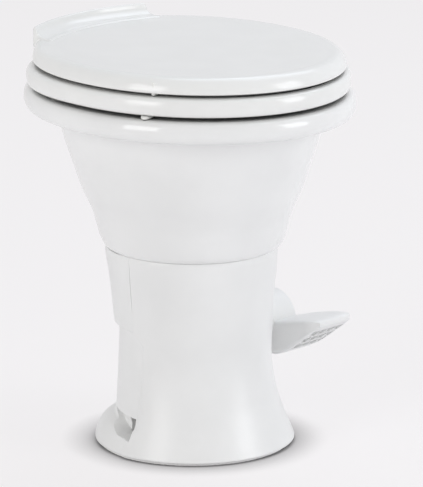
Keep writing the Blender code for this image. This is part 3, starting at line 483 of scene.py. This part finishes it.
def hollowRings(facts, side, axisY):
    # the same, but carried outwards about the pedestal's axis, so that its back wall is round like the shell
    span, outline = facts["hollow"]
    outline = softCorners(outline, facts["corner"])
    share = np.linspace(0, 1, facts["hollowSteps"], endpoint=False)[:, None]
    outline = np.concatenate([a + (b - a) * share for a, b in zip(outline, np.roll(outline, -1, axis=0))])
    angle = np.arcsin((outline[:, 0] - axisY) / facts["shellRadius"])
    ends = np.array(span)[:, None]
    x, y = ends * np.cos(angle), ends * np.sin(angle) + axisY
    return np.stack([x, y, outline[None, :, 1] + 0 * ends], -1) * (side, 1, 1)


def makePedestal(facts):
    # the moulding, less a well, a mouth and a recess on each side
    rings = pedestalRings(facts)
    pedestal = makePiece("pedestalMoulding", [rings], "satinPolypropylene", "base", True)
    for side in (1, -1):
        carve(pedestal, [pocketRings(boltPocketFacts, side, "well")])
        carve(pedestal, [pocketRings(boltPocketFacts, side, "mouth")])
        carve(pedestal, [hollowRings(boltPocketFacts, side, facts["axisY"])])
    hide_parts("pedestal")


collarFacts = {"shaftZ": 0.123, "round": 0.0015,
               "profile": [(0.022, 0.08), (0.022, 0.1117), (0.0075, 0.1117), (0.0075, 0.08)]}


def makeCollar(facts):
    # round collar that carries the shaft out of the pedestal's side: radius and x, turned about the shaft
    rings = turnedRings(softCorners(facts["profile"], facts["round"]), (0, 0, facts["shaftZ"]), "x")
    makePiece("pedestalCollar", [rings], "satinPolypropylene", "base", True)


coverFacts = {
    "frontY": 0.003,
    "proud": 0.0003,
    "blend": np.radians(14),
    "columns": 96,
    "thick": 0.004,
    "outside": [
        (0.1048, 0.2458), (0.1056, 0.2452), (0.1058, 0.2438), (0.103, 0.219), (0.0997, 0.193),
        (0.0972, 0.169), (0.0955, 0.1535), (0.0951, 0.1512), (0.094, 0.1501),
    ],
    # front ends: turn of the first columns and of the even middle (degrees), thinnest share of the wall
    "endTurns": (0, 0.01, 0.03, 0.07, 0.12),
    "evenFrom": 0.2,
    "thinnest": 0.05,
    # round hole for the hose: radius and y, and its height
    "hole": [(0.0102, 0.08), (0.0102, 0.125)],
    "holeZ": 0.226,
}


def makeRearCover(facts, axisY):
    # radius and height profile with its inner copy one wall nearer the axis, carried round the rear half;
    # the first and last few columns thin out along a quarter circle
    outer = smoothRows(facts["outside"], 6)
    profile = np.vstack([outer, outer[::-1] - (facts["thick"], 0)])
    skin = np.interp(profile[:, 1], outer[::-1, 1], outer[::-1, 0])
    middle = skin - facts["thick"] / 2
    start = np.arcsin((facts["frontY"] - axisY) / profile[:, 0])
    share = np.linspace(0, 1, facts["columns"])[:, None]
    arc, gap = np.radians(facts["endTurns"])[:, None], np.radians(facts["evenFrom"])
    grow = np.sqrt(1 - (1 - np.linspace(facts["thinnest"], 1, 5)) ** 2)
    squeeze = np.concatenate([grow, np.ones(facts["columns"]), grow[::-1]])[:, None]
    even = start + gap + share * (np.pi - 2 * start - 2 * gap)
    angle = np.vstack([start + arc, even, np.pi - start - arc[::-1]])
    radius = middle + (profile[:, 0] - middle) * squeeze
    # towards its front ends the cover sinks until it stands hardly proud of the apron
    excess = np.maximum(skin - radiusAt(pedestalFacts["apron"], profile[:, 1]) - facts["proud"], 0)
    inside = np.clip((np.pi / 2 - np.abs(angle - np.pi / 2) - start) / facts["blend"], 0, 1)
    radius = radius - excess * (1 + np.cos(np.pi * inside)) / 2
    rings = np.stack([radius * np.cos(angle), axisY + radius * np.sin(angle), profile[:, 1] + 0 * angle], -1)
    cover = makePiece("rearCoverShell", [rings], "satinPolypropylene", "base")
    carve(cover, [turnedRings(facts["hole"], (0, 0, facts["holeZ"]), "y", 40)])
    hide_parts("rear_cover")


makePedestal(pedestalFacts)
makeCollar(collarFacts)
makeRearCover(coverFacts, pedestalFacts["axisY"])
print("pedestal made")


seatFacts = {
    "columns": 160,
    "steps": 4,
    # half width, front reach, rear reach, middle, rear power, height
    "around": [
        (0.129, 0.149, 0.149, -0.018, 2.0, 0.4655), (0.145, 0.166, 0.16, -0.012, 2.2, 0.466),
        (0.165, 0.187, 0.172, -0.004, 2.4, 0.466), (0.1745, 0.197, 0.1775, 0, 2.5, 0.4656),
        (0.1788, 0.2013, 0.1813, 0, 2.5, 0.4638), (0.1809, 0.2034, 0.1834, 0, 2.5, 0.4605),
        (0.1815, 0.204, 0.184, 0, 2.5, 0.456), (0.1814, 0.2039, 0.1839, 0, 2.5, 0.4505),
        (0.1802, 0.2027, 0.1827, 0, 2.5, 0.446), (0.1775, 0.2, 0.18, 0, 2.5, 0.4436),
        (0.1735, 0.196, 0.1765, 0, 2.5, 0.443), (0.15, 0.173, 0.162, -0.008, 2.3, 0.443),
        (0.125, 0.146, 0.146, -0.018, 2.0, 0.443), (0.116, 0.136, 0.136, -0.018, 2.0, 0.4433),
        (0.1127, 0.1327, 0.1327, -0.018, 2.0, 0.4452), (0.112, 0.132, 0.132, -0.018, 2.0, 0.4485),
        (0.1122, 0.1322, 0.1322, -0.018, 2.0, 0.454), (0.114, 0.134, 0.134, -0.018, 2.0, 0.459),
        (0.119, 0.139, 0.139, -0.018, 2.0, 0.4634),
    ],
    "under": 0.443,
    "top": 0.466,
    # low corner, high corner and corner radius of what is cut out: the notch for a post (left one), and the
    # bay behind the ring where the lid's rear edge swings down
    "notch": ((0.04, 0.15, 0.43), (0.08, 0.21, 0.48), 0.003),
    "bay": ((-0.041, 0.179, 0.429), (0.041, 0.215, 0.481), 0.002),
}


def makeSeat(facts):
    # one closed curve of oval rings: crowned top, rounded outer side, flat underside, rounded hole
    knots = facts["around"] + facts["around"][:1]
    rings = ovalRings(smoothRows(knots, facts["steps"])[:-1], facts["columns"])
    # the smooth curve swings past its flat stretches, so the heights are held
    rings[..., 2] = np.clip(rings[..., 2], facts["under"], facts["top"])
    seat = makePiece("seatRing", [rings], "glossPolypropylene", "seat", True)
    for side in (1, -1):
        carve(seat, [boxRings(*facts["notch"]) * (side, 1, 1)])
    carve(seat, [boxRings(*facts["bay"])])
    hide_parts("seat")


lidFacts = {
    "columns": 160,
    "steps": 5,
    # half width, front reach, rear reach, height: crown, rolled edge, underside
    "around": [
        (0.02, 0.024, 0.024, 0.4893), (0.07, 0.082, 0.082, 0.4891), (0.12, 0.14, 0.14, 0.4888),
        (0.156, 0.178, 0.1775, 0.4883), (0.164, 0.1862, 0.185, 0.4877), (0.1672, 0.1896, 0.1878, 0.4865),
        (0.17, 0.1925, 0.1898, 0.4842), (0.1722, 0.195, 0.1908, 0.4812), (0.1742, 0.1972, 0.1914, 0.477),
        (0.1754, 0.1984, 0.1915, 0.4733), (0.1753, 0.1983, 0.1913, 0.471), (0.174, 0.197, 0.19, 0.4697),
        (0.172, 0.195, 0.1882, 0.4695), (0.1695, 0.1925, 0.1855, 0.4697), (0.1678, 0.1908, 0.1838, 0.4712),
        (0.1665, 0.1895, 0.1825, 0.4745), (0.1648, 0.1878, 0.1812, 0.4805), (0.1625, 0.1855, 0.179, 0.483),
        (0.156, 0.179, 0.1725, 0.4842), (0.12, 0.14, 0.135, 0.4855), (0.06, 0.07, 0.068, 0.4856),
        (0.02, 0.024, 0.023, 0.4856),
    ],
    "power": 2.15,
    "lipHalf": 0.097,
    "lipEven": 0.092,
    "lipRound": 0.0035,
    "lipThinnest": 0.12,
    "lipEndY": 0.169,
    "lipBow": 0.0215,
    # point that the ends of the lip shrink towards
    "lipMiddle": (-0.006, 0.488),
    # shift from the lip's back line, and height
    "lip": [
        (-0.001, 0.4762), (0, 0.4775), (0, 0.485), (0, 0.496), (-0.0004, 0.4992), (-0.0016, 0.5012),
        (-0.0034, 0.502), (-0.005, 0.5013), (-0.006, 0.4995), (-0.007, 0.497), (-0.0088, 0.4944),
        (-0.0118, 0.4922), (-0.0165, 0.4905), (-0.023, 0.4895), (-0.032, 0.4886), (-0.033, 0.486),
        (-0.02, 0.483), (-0.007, 0.4775),
    ],
}


def lidSections(facts):
    # four-value rows to oval rings with one rear power
    a, front, rear, height = smoothRows(facts["around"], facts["steps"]).T
    return np.stack([a, front, rear, 0 * a, facts["power"] + 0 * a, height], axis=1)


def lipRings(facts):
    # lip section carried along a shallow parabola; close to each end it shrinks along a quarter circle
    section = smoothRows(facts["lip"] + facts["lip"][:1], 3)[:-1]
    half, even = facts["lipHalf"], facts["lipEven"]
    shift = facts["lipRound"] * (1 - np.cos(np.linspace(0, np.pi / 2, 6)))
    x = np.concatenate([shift - half, np.linspace(-even, even, 70), half - shift[::-1]])
    grow = np.sin(np.linspace(facts["lipThinnest"], 1, 6) * np.pi / 2)
    size = np.concatenate([grow, np.ones(70), grow[::-1]])
    back = facts["lipEndY"] + facts["lipBow"] * (1 - (x / half) ** 2)
    middle = np.array(facts["lipMiddle"])
    spread = middle + (section[None] - middle) * size[:, None, None]
    return np.stack([x[:, None] + 0 * spread[..., 0], back[:, None] + spread[..., 0], spread[..., 1]], -1)


lugFacts = {"y": 0.172, "z": 0.46, "halfY": 0.006, "round": 0.0065, "top": 0.485, "edge": 0.0008,
            "spans": ((0.0422, 0.0498), (0.0702, 0.0778))}


def lugRings(facts, near, far):
    # side view of a hinge lug, a half round below and straight flanks above, carried along X with soft edges
    y, z, halfY, top = facts["y"], facts["z"], facts["halfY"], facts["top"]
    angle = np.linspace(np.pi, 2 * np.pi, 15)
    around = np.column_stack([y + facts["round"] * np.cos(angle), z + facts["round"] * np.sin(angle)])
    return prismRings(np.vstack([around, [(y + halfY, top), (y - halfY, top)]]), near, far, facts["edge"])


def makeLid(facts):
    # crowned oval, the bowed lip on its rear edge, and four lugs for the pins
    rings = ovalRings(lidSections(facts), facts["columns"])
    lid = makePiece("lidShell", [rings], "glossPolypropylene", "lid")
    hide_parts("lid")
    makePiece("lidLip", [lipRings(facts)], "glossPolypropylene", "lid")
    lugs = [lugRings(lugFacts, near, far) for near, far in lugFacts["spans"]]
    makePiece("lidLugs", lugs + [lug * (-1, 1, 1) for lug in lugs], "glossPolypropylene", "lid")


makeSeat(seatFacts)
makeLid(lidFacts)
print("seat and lid made")


pedalFacts = {
    "shaftZ": 0.123,
    # radius and x of the drum with its sunk screw seat, and of the cap over the screw
    "hub": [
        (0.036, 0.112), (0.036, 0.154), (0.016, 0.154), (0.016, 0.151), (0.008, 0.151), (0.008, 0.147),
        (0.0076, 0.112),
    ],
    "hubRound": 0.0022,
    "cap": [(0.0005, 0.1537), (0.0157, 0.1537), (0.0157, 0.1513), (0.0005, 0.1513)],
    "capRound": 0.0008,
    # y, top, bottom (from the shaft), nearest x, farthest x
    "stations": [
        (-0.01, 0.0058, -0.027, 0.1128, 0.1535), (-0.018, 0.0061, -0.0286, 0.1122, 0.1539),
        (-0.024, 0.0065, -0.0345, 0.112, 0.1545), (-0.029, 0.0068, -0.0358, 0.112, 0.1554),
        (-0.0337, 0.0071, -0.0358, 0.112, 0.1573), (-0.0366, 0.0073, -0.0356, 0.112, 0.1646),
        (-0.0394, 0.0075, -0.0346, 0.112, 0.1721), (-0.0442, 0.0086, -0.0328, 0.112, 0.1782),
        (-0.0508, 0.0101, -0.0292, 0.112, 0.1807), (-0.0603, 0.0122, -0.0233, 0.112, 0.1809),
        (-0.0726, 0.0148, -0.0141, 0.112, 0.1809), (-0.0849, 0.0166, -0.0048, 0.1122, 0.1809),
        (-0.0925, 0.0175, 0.001, 0.115, 0.1807), (-0.0973, 0.0176, 0.0047, 0.118, 0.1797),
        (-0.1003, 0.0174, 0.007, 0.1199, 0.1785), (-0.1025, 0.0165, 0.0088, 0.1213, 0.1766),
        (-0.1036, 0.0154, 0.01, 0.1215, 0.1745), (-0.1039, 0.0145, 0.0108, 0.1215, 0.1724),
    ],
    "columns": 72,
    "squareness": 9.0,
    # grip pockets in the sloping underside: across, along, depth, rib between them, corner radius, count, and
    # where the first starts: its near side across, its middle along, its height from the shaft
    "cellWidth": 0.0125,
    "cellLength": 0.016,
    "cellDepth": 0.006,
    "cellRib": 0.0018,
    "cellRound": 0.0012,
    "cellColumns": 4,
    "cellRows": 3,
    "cellStart": (0.1205, -0.06, -0.0236),
    "slope": np.arctan2(0.033, 0.0437),
}


def armRings(facts):
    # superellipse |u|^n + |v|^n = 1 fitted to the arm's width and thickness at stations along Y
    y, top, bottom, near, far = smoothRows(facts["stations"], 4).T[:, :, None]
    angle = np.linspace(0, 2 * np.pi, facts["columns"], endpoint=False)[None, :]
    c, s = np.cos(angle), np.sin(angle)
    n = facts["squareness"]
    reach = (np.abs(c) ** n + np.abs(s) ** n) ** (-1 / n)
    x = (near + far) / 2 + (far - near) / 2 * c * reach
    z = facts["shaftZ"] + (top + bottom) / 2 + (top - bottom) / 2 * s * reach
    return np.stack([x, y + 0 * x, z], -1)


def cellRings(facts, column, row):
    # one pocket between the grip ribs, a softened box tilted to the sloping underside
    width, length, depth = facts["cellWidth"], facts["cellLength"], facts["cellDepth"]
    x0 = column * (width + facts["cellRib"])
    y0 = -row * (length + facts["cellRib"]) - length / 2
    box = boxRings((x0, y0, -depth), (x0 + width, y0 + length, depth), facts["cellRound"])
    c, s = np.cos(-facts["slope"]), np.sin(-facts["slope"])
    x, y, z = box[..., 0], box[..., 1], box[..., 2]
    startX, startY, startZ = facts["cellStart"]
    return np.stack([x + startX, y * c - z * s + startY, y * s + z * c + startZ + facts["shaftZ"]], -1)


def makePedal(facts):
    # arm with its grip pockets, and drum and screw cap turned about the shaft
    arm = makePiece("pedalArm", [armRings(facts)], "satinPolypropylene", "pedal")
    carve(arm, [cellRings(facts, column, row) for column in range(facts["cellColumns"])
                for row in range(facts["cellRows"])])
    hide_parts("pedal")
    shaft = (0, 0, facts["shaftZ"])
    hub = turnedRings(softCorners(facts["hub"], facts["hubRound"]), shaft, "x", 96)
    makePiece("pedalHub", [hub], "satinPolypropylene", "pedal", True)
    cap = turnedRings(softCorners(facts["cap"], facts["capRound"], closed=False), shaft, "x", 64)
    piece = makePiece("hubCap", [cap], "satinPolypropylene", "pedal")
    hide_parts("hub_cap")


makePedal(pedalFacts)
print("pedal made")


bufferFacts = {
    "softness": 0.0016,
    "columns": 48,
    # radius of the small hole that the end fans close
    "pole": 0.0004,
    # how far each pad is drawn out towards the edge of its piece
    "seatReach": 0.011,
    "lidReach": 0.0245,
}


def bufferPiece(name, node, body, reach):
    # rubber pad with a softened foot: a circle whose outer half is drawn out away from the middle of the seat
    low, high = (np.asarray(corner, float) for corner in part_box(node))
    middle = (low + high) / 2
    radius, height, pole = (high[0] - low[0]) / 2, high[2] - low[2], bufferFacts["pole"]
    profile = softCorners([(pole, height), (radius, height), (radius, 0), (pole, 0)],
                          bufferFacts["softness"], closed=False)
    rings = turnedRings(profile, (0, 0, low[2]), "z", bufferFacts["columns"])
    way = middle[:2] / np.hypot(middle[0], middle[1])
    stretch = np.clip((rings[..., :2] @ way) / radius, 0, 1) * reach
    rings[..., :2] += middle[:2] + stretch[..., None] * way
    piece = makePiece(name, [rings], "whiteRubber", body)
    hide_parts(node)


for side in ("left", "right"):
    title = side.capitalize()
    for row in ("front", "rear"):
        bufferPiece("seatBuffer" + row.capitalize() + title, "seat_bumper_" + row + "_" + side, "seat",
                    bufferFacts["seatReach"] if row == "front" else 0)
    bufferPiece("lidBuffer" + title, "lid_bumper_" + side, "lid", bufferFacts["lidReach"])
print("buffers made")

postFacts = {"x": 0.06, "boltY": 0.17, "pinY": 0.172, "pinZ": 0.46, "knuckle": 0.0065,
             "foot": [(0.0004, 0.442), (0.012, 0.442), (0.012, 0.4388), (0.0004, 0.4388)],
             "stemX": (0.0523, 0.0677), "stemY": (0.166, 0.178), "stemZ": 0.4412, "edge": 0.0009}


def postRings(facts, side):
    # round foot, and a straight stem whose head is a half round about the pin
    edge, knuckle = facts["edge"], facts["knuckle"]
    bolt = (facts["x"], facts["boltY"], 0)
    foot = turnedRings(softCorners(facts["foot"], edge, closed=False), bolt, "z", 48)
    angle = np.linspace(0, np.pi, 19)
    head = np.column_stack([facts["pinY"] + knuckle * np.cos(angle), facts["pinZ"] + knuckle * np.sin(angle)])
    outline = np.vstack([head, [(y, facts["stemZ"]) for y in facts["stemY"]]])
    return [foot * (side, 1, 1), prismRings(outline, *facts["stemX"], edge) * (side, 1, 1)]


for label, side in (("left", 1), ("right", -1)):
    title = "hingePost" + label.capitalize()
    post = makePiece(title, postRings(postFacts, side), "glossPolypropylene", "base")
    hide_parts("hinge_post_" + label)

# radius and height of the snap caps over the floor bolts, outside and then inside
capFacts = {"x": 0.0762,
            "profile": [
                (0.0003, 0.028), (0.0045, 0.0279), (0.0075, 0.027), (0.0093, 0.025), (0.0097, 0.0225),
                (0.0097, 0.0141), (0.0089, 0.0141), (0.0088, 0.0225), (0.008, 0.025), (0.0003, 0.0262),
            ]}
for label, side in (("left", 1), ("right", -1)):
    rings = turnedRings(smoothRows(capFacts["profile"], 2), (side * capFacts["x"], 0, 0), "z", 48)
    piece = makePiece("boltCap" + label.capitalize(), [rings], "satinPolypropylene", "cap_" + label)
    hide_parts("bolt_cap_" + label)

hoseFacts = {
    "radius": 0.007,
    "route": [
        (-0.073, 0, 0.2323), (-0.073, 0, 0.238), (-0.073, 0, 0.244), (-0.07, 0.01, 0.252),
        (-0.058, 0.032, 0.253), (-0.04, 0.054, 0.242), (-0.017, 0.074, 0.23), (0, 0.089, 0.226),
        (0, 0.103, 0.227), (0, 0.118, 0.237), (0, 0.132, 0.262), (0, 0.154, 0.304), (0, 0.179, 0.332),
        (0, 0.188, 0.344), (0, 0.188, 0.35), (0, 0.188, 0.3555),
    ],
}
route = smoothRows(hoseFacts["route"], 8)
hose = makePiece("supplyHose", [tubeRings(route, hoseFacts["radius"], 28)], "hosePvc", "base")
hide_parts("supply_hose")

breakerFacts = {
    "y": 0.188,
    "spudZ": 0.399,
    # radius and height of the cup, cap and float; radius and y of the stub
    "cup": [
        (0.0003, 0.39), (0.01, 0.39), (0.01, 0.404), (0.013, 0.404), (0.013, 0.4), (0.0126, 0.399),
        (0.0126, 0.369), (0.013, 0.368), (0.013, 0.364), (0.006, 0.364), (0.006, 0.356), (0.0003, 0.356),
    ],
    "stub": [(0.0003, 0.14), (0.005, 0.14), (0.005, 0.1772), (0.0003, 0.1772)],
    "cap": [(0.013, 0.4085), (0.013, 0.4043), (0.004, 0.4043), (0.004, 0.4085)],
    "float": [(0.0003, 0.3943), (0.0094, 0.3943), (0.0094, 0.3903), (0.0003, 0.3903)],
}


def makeBreaker(facts):
    # vacuum breaker, all turned: cup with a barbed foot, stub into the bowl, cap with an air hole, float
    centre, inlet = (0, facts["y"], 0), (0, 0, facts["spudZ"])
    body = turnedRings(softCorners(facts["cup"], 0.0006, closed=False), centre, "z", 56)
    stub = turnedRings(softCorners(facts["stub"], 0.0005, closed=False), inlet, "y", 32)
    piece = makePiece("breakerCup", [body, stub], "creamNylon", "base")
    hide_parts("breaker_body")
    cap = turnedRings(softCorners(facts["cap"], 0.0008), centre, "z", 56)
    piece = makePiece("breakerCap", [cap], "greyNylon", "base", True)
    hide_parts("breaker_cap")
    rings = turnedRings(softCorners(facts["float"], 0.0006, closed=False), centre, "z", 48)
    piece = makePiece("breakerFloat", [rings], "blackRubber", "float")
    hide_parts("breaker_float")


makeBreaker(breakerFacts)

ballFacts = {"z": 0.123, "outer": 0.052, "inner": 0.047, "half": np.radians(42), "pole": 0.012, "steps": 49,
             "edge": np.radians(0.8), "hubRound": 0.0006,
             "hub": [(0.015, 0.04), (0.015, 0.0505), (0.0073, 0.0505), (0.0073, 0.04)]}


def makeBall(facts):
    # sphere cap between two poles on the X axis: bearing goes over the lune, polar angle from pole to pole,
    # outer skin out and inner skin back; and its two hubs, turned about the same axis
    steps, edge, half = facts["steps"], facts["edge"], facts["half"]
    start = np.arcsin(facts["pole"] / facts["outer"])
    polar = np.linspace(start, np.pi - start, steps)
    bearing = np.concatenate([np.linspace(-half, half, steps), np.linspace(half, -half, steps)])
    bearing[[0, steps - 1, steps, -1]] += (edge, -edge, -edge, edge)
    radius = np.concatenate([np.full(steps, facts["outer"]), np.full(steps, facts["inner"])])
    r, b, p = radius[None, :], bearing[None, :], polar[:, None]
    rings = np.stack([r * np.cos(p), r * np.sin(p) * np.sin(b), facts["z"] + r * np.sin(p) * np.cos(b)], -1)
    ball = makePiece("flushBall", [rings], "blackAbs", "pedal")
    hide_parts("flush_ball")
    hubs = [turnedRings(softCorners([(radius, side * x) for radius, x in facts["hub"]], facts["hubRound"]),
                        (0, 0, facts["z"]), "x", 48) for side in (1, -1)]
    makePiece("flushBallHubs", hubs, "blackAbs", "pedal", True)


makeBall(ballFacts)
sealFacts = {"round": 0.0012, "profile": [
    (0.046, 0.1807), (0.046, 0.168), (0.0396, 0.168), (0.038, 0.166), (0.0302, 0.1658), (0.0302, 0.1807),
]}
rings = turnedRings(softCorners(sealFacts["profile"], sealFacts["round"]), (0, 0, 0), "z", 72)
seal = makePiece("bowlSeal", [rings], "blackRubber", "base", True)
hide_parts("bowl_seal")
print("small pieces made")

# finish of every CAD node that stays in sight
nodeFinish = {
    "valve_housing": "blackAbs", "water_valve": "blackAbs", "spud_grommet": "blackRubber",
    "floor_seal": "spongeRubber", "clamp_left": "greyNylon", "clamp_right": "greyNylon",
    "spring_case": "greyNylon", "valve_plunger": "turnedBrass", "inlet_fitting": "turnedBrass",
    "cam": "creamNylon",
}
familyFinish = {"closet_bolt": "turnedBrass", "bolt_nut": "turnedBrass", "hinge_bolt": "creamNylon",
                "wing_nut": "creamNylon", "shaft_bush": "creamNylon"}
for name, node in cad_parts.items():
    family = (finish for start, finish in familyFinish.items() if name.startswith(start))
    finish = nodeFinish.get(name) or next(family, "zincSteel")
    node.data.materials.clear()
    node.data.materials.append(finishes[finish])


stageFacts = {
    "paper": "#F0EEEF",
    "evenShare": 0.825,
    "shadedShare": 0.24,
    # painted contact shadow in the floor's glow: how far it reaches and how steeply it falls
    "shadowReach": 0.045,
    "shadowPower": 2.0,
    "worldLight": 0.45,
    "floorHalf": 30.0,
}


def floorFinish(facts):
    # matt backdrop paper: the camera and mirrored looks see its own even glow, with a painted contact shadow
    # where the foot stands close, plus a share of the true shading; every other ray meets plain matt paper
    paper = bpy.data.materials.new("backdropPaper")
    paper.use_nodes = True
    tree = paper.node_tree
    tree.nodes.clear()
    pale = linearColour(facts["paper"])
    share = tuple(v * facts["shadedShare"] for v in pale[:3]) + (1.0,)
    plain = addNode(tree, "ShaderNodeBsdfDiffuse", {"Color": pale})
    shaded = addNode(tree, "ShaderNodeBsdfDiffuse", {"Color": share})
    # painted shadow: the glow is dimmed by closeness to the foot
    paintedShadowCloseness = addNode(tree, "ShaderNodeAmbientOcclusion", {"Distance": facts["shadowReach"], "samples": 16})
    paintedShadowFall = addNode(tree, "ShaderNodeMath", {"operation": "POWER"}, [(0, paintedShadowCloseness.outputs["AO"])])
    paintedShadowFall.inputs[1].default_value = facts["shadowPower"]
    level = addNode(tree, "ShaderNodeMath", {"operation": "MULTIPLY"}, [(0, paintedShadowFall.outputs[0])])
    level.inputs[1].default_value = facts["evenShare"]
    even = addNode(tree, "ShaderNodeEmission", {"Color": pale}, [("Strength", level.outputs[0])])
    seen = addNode(tree, "ShaderNodeAddShader", {}, [(0, shaded.outputs[0]), (1, even.outputs[0])])
    path = addNode(tree, "ShaderNodeLightPath", {})
    looking = addNode(tree, "ShaderNodeMath", {"operation": "MAXIMUM"},
                      [(0, path.outputs["Is Camera Ray"]), (1, path.outputs["Is Glossy Ray"])])
    blend = addNode(tree, "ShaderNodeMixShader", {}, [("Fac", looking.outputs[0]),
                                                      (1, plain.outputs[0]), (2, seen.outputs[0])])
    addNode(tree, "ShaderNodeOutputMaterial", {}, [("Surface", blend.outputs[0])])
    return paper


def makeFloor(facts):
    # one wide square at height zero
    mesh = bpy.data.meshes.new("floor")
    half = facts["floorHalf"]
    corners = [(-half, -half, 0), (half, -half, 0), (half, half, 0), (-half, half, 0)]
    mesh.from_pydata(corners, [], [(0, 1, 2, 3)])
    floor = bpy.data.objects.new("floor", mesh)
    bpy.context.scene.collection.objects.link(floor)
    mesh.materials.append(floorFinish(facts))


def makeWorld(facts):
    # even dome light; straight, mirrored and see-through looks meet the backdrop's own colour
    world = bpy.data.worlds.new("dome")
    bpy.context.scene.world = world
    world.use_nodes = True
    tree = world.node_tree
    tree.nodes.clear()
    path = addNode(tree, "ShaderNodeLightPath", {})
    mirrored = addNode(tree, "ShaderNodeMath", {"operation": "MAXIMUM"},
                       [(0, path.outputs["Is Glossy Ray"]), (1, path.outputs["Is Transmission Ray"])])
    looking = addNode(tree, "ShaderNodeMath", {"operation": "MAXIMUM"},
                      [(0, path.outputs["Is Camera Ray"]), (1, mirrored.outputs[0])])
    dome = addNode(tree, "ShaderNodeBackground", {"Color": (1, 1, 1, 1), "Strength": facts["worldLight"]})
    paper = addNode(tree, "ShaderNodeBackground", {"Color": linearColour(facts["paper"]), "Strength": 1.0})
    blend = addNode(tree, "ShaderNodeMixShader", {}, [("Fac", looking.outputs[0]), (1, dome.outputs[0]),
                                                      (2, paper.outputs[0])])
    addNode(tree, "ShaderNodeOutputWorld", {}, [("Surface", blend.outputs[0])])


lampFacts = {
    # place round the object from the camera's bearing (degrees, right is plus), distance, height, size, watts
    "leftBox": dict(bearing=-43, distance=3.2, height=1.2, size=(1.3, 2.3), power=36),
    "rightBox": dict(bearing=68, distance=3.0, height=1.2, size=(1.2, 2.3), power=36, tone="#FAFCFF"),
    "topBox": dict(bearing=150, distance=1.6, height=3.4, size=(2.6, 2.6), power=40, tone="#E9F2FF"),
}
cameraFacts = {"bearing": 46.57, "turn": 46.78, "distance": 6.1128, "axisY": -0.0056, "height": 1.837,
               "pitch": 14.6, "lens": 386.4, "sensor": 36.0, "lampAim": 0.27}


def makeLamps(lamps, camera):
    # soft boxes: each stands on a circle round the object and is turned to look at one height on its axis
    aim = np.array([0, 0, camera["lampAim"]])
    for name, facts in lamps.items():
        # the camera stands at (-sin b, -cos b); a lamp to its right has a smaller bearing seen from above
        bearing = np.radians(camera["bearing"] - facts["bearing"])
        spot = np.array([-np.sin(bearing), -np.cos(bearing), 0]) * facts["distance"] + (0, 0, facts["height"])
        lamp = bpy.data.lights.new(name, "AREA")
        lamp.shape = "RECTANGLE"
        lamp.size, lamp.size_y = facts["size"]
        lamp.energy = facts["power"]
        lamp.color = linearColour(facts.get("tone", "#FFFFFF"))[:3]
        holder = bpy.data.objects.new(name, lamp)
        bpy.context.scene.collection.objects.link(holder)
        holder.location = spot
        way = aim - spot
        rise = np.arctan2(way[2], np.hypot(way[0], way[1]))
        holder.rotation_euler = (np.pi / 2 + rise, 0, np.arctan2(way[1], way[0]) - np.pi / 2)


def makeCamera(facts):
    # the camera stands on a circle round the pedestal's axis, turned to the object and pitched down
    lens = bpy.data.cameras.new("photoCamera")
    lens.lens = facts["lens"]
    lens.sensor_width = facts["sensor"]
    lens.clip_end = 100.0
    holder = bpy.data.objects.new("photoCamera", lens)
    bpy.context.scene.collection.objects.link(holder)
    bearing, turn = np.radians(facts["bearing"]), np.radians(facts["turn"])
    away = facts["distance"]
    holder.location = (-away * np.sin(bearing), -away * np.cos(bearing) + facts["axisY"], facts["height"])
    holder.rotation_euler = (np.pi / 2 - np.radians(facts["pitch"]), 0, -turn)
    bpy.context.scene.camera = holder


makeFloor(stageFacts)
makeWorld(stageFacts)
makeLamps(lampFacts, cameraFacts)
makeCamera(cameraFacts)
bpy.context.scene.view_settings.view_transform = "Standard"
print("stage made")
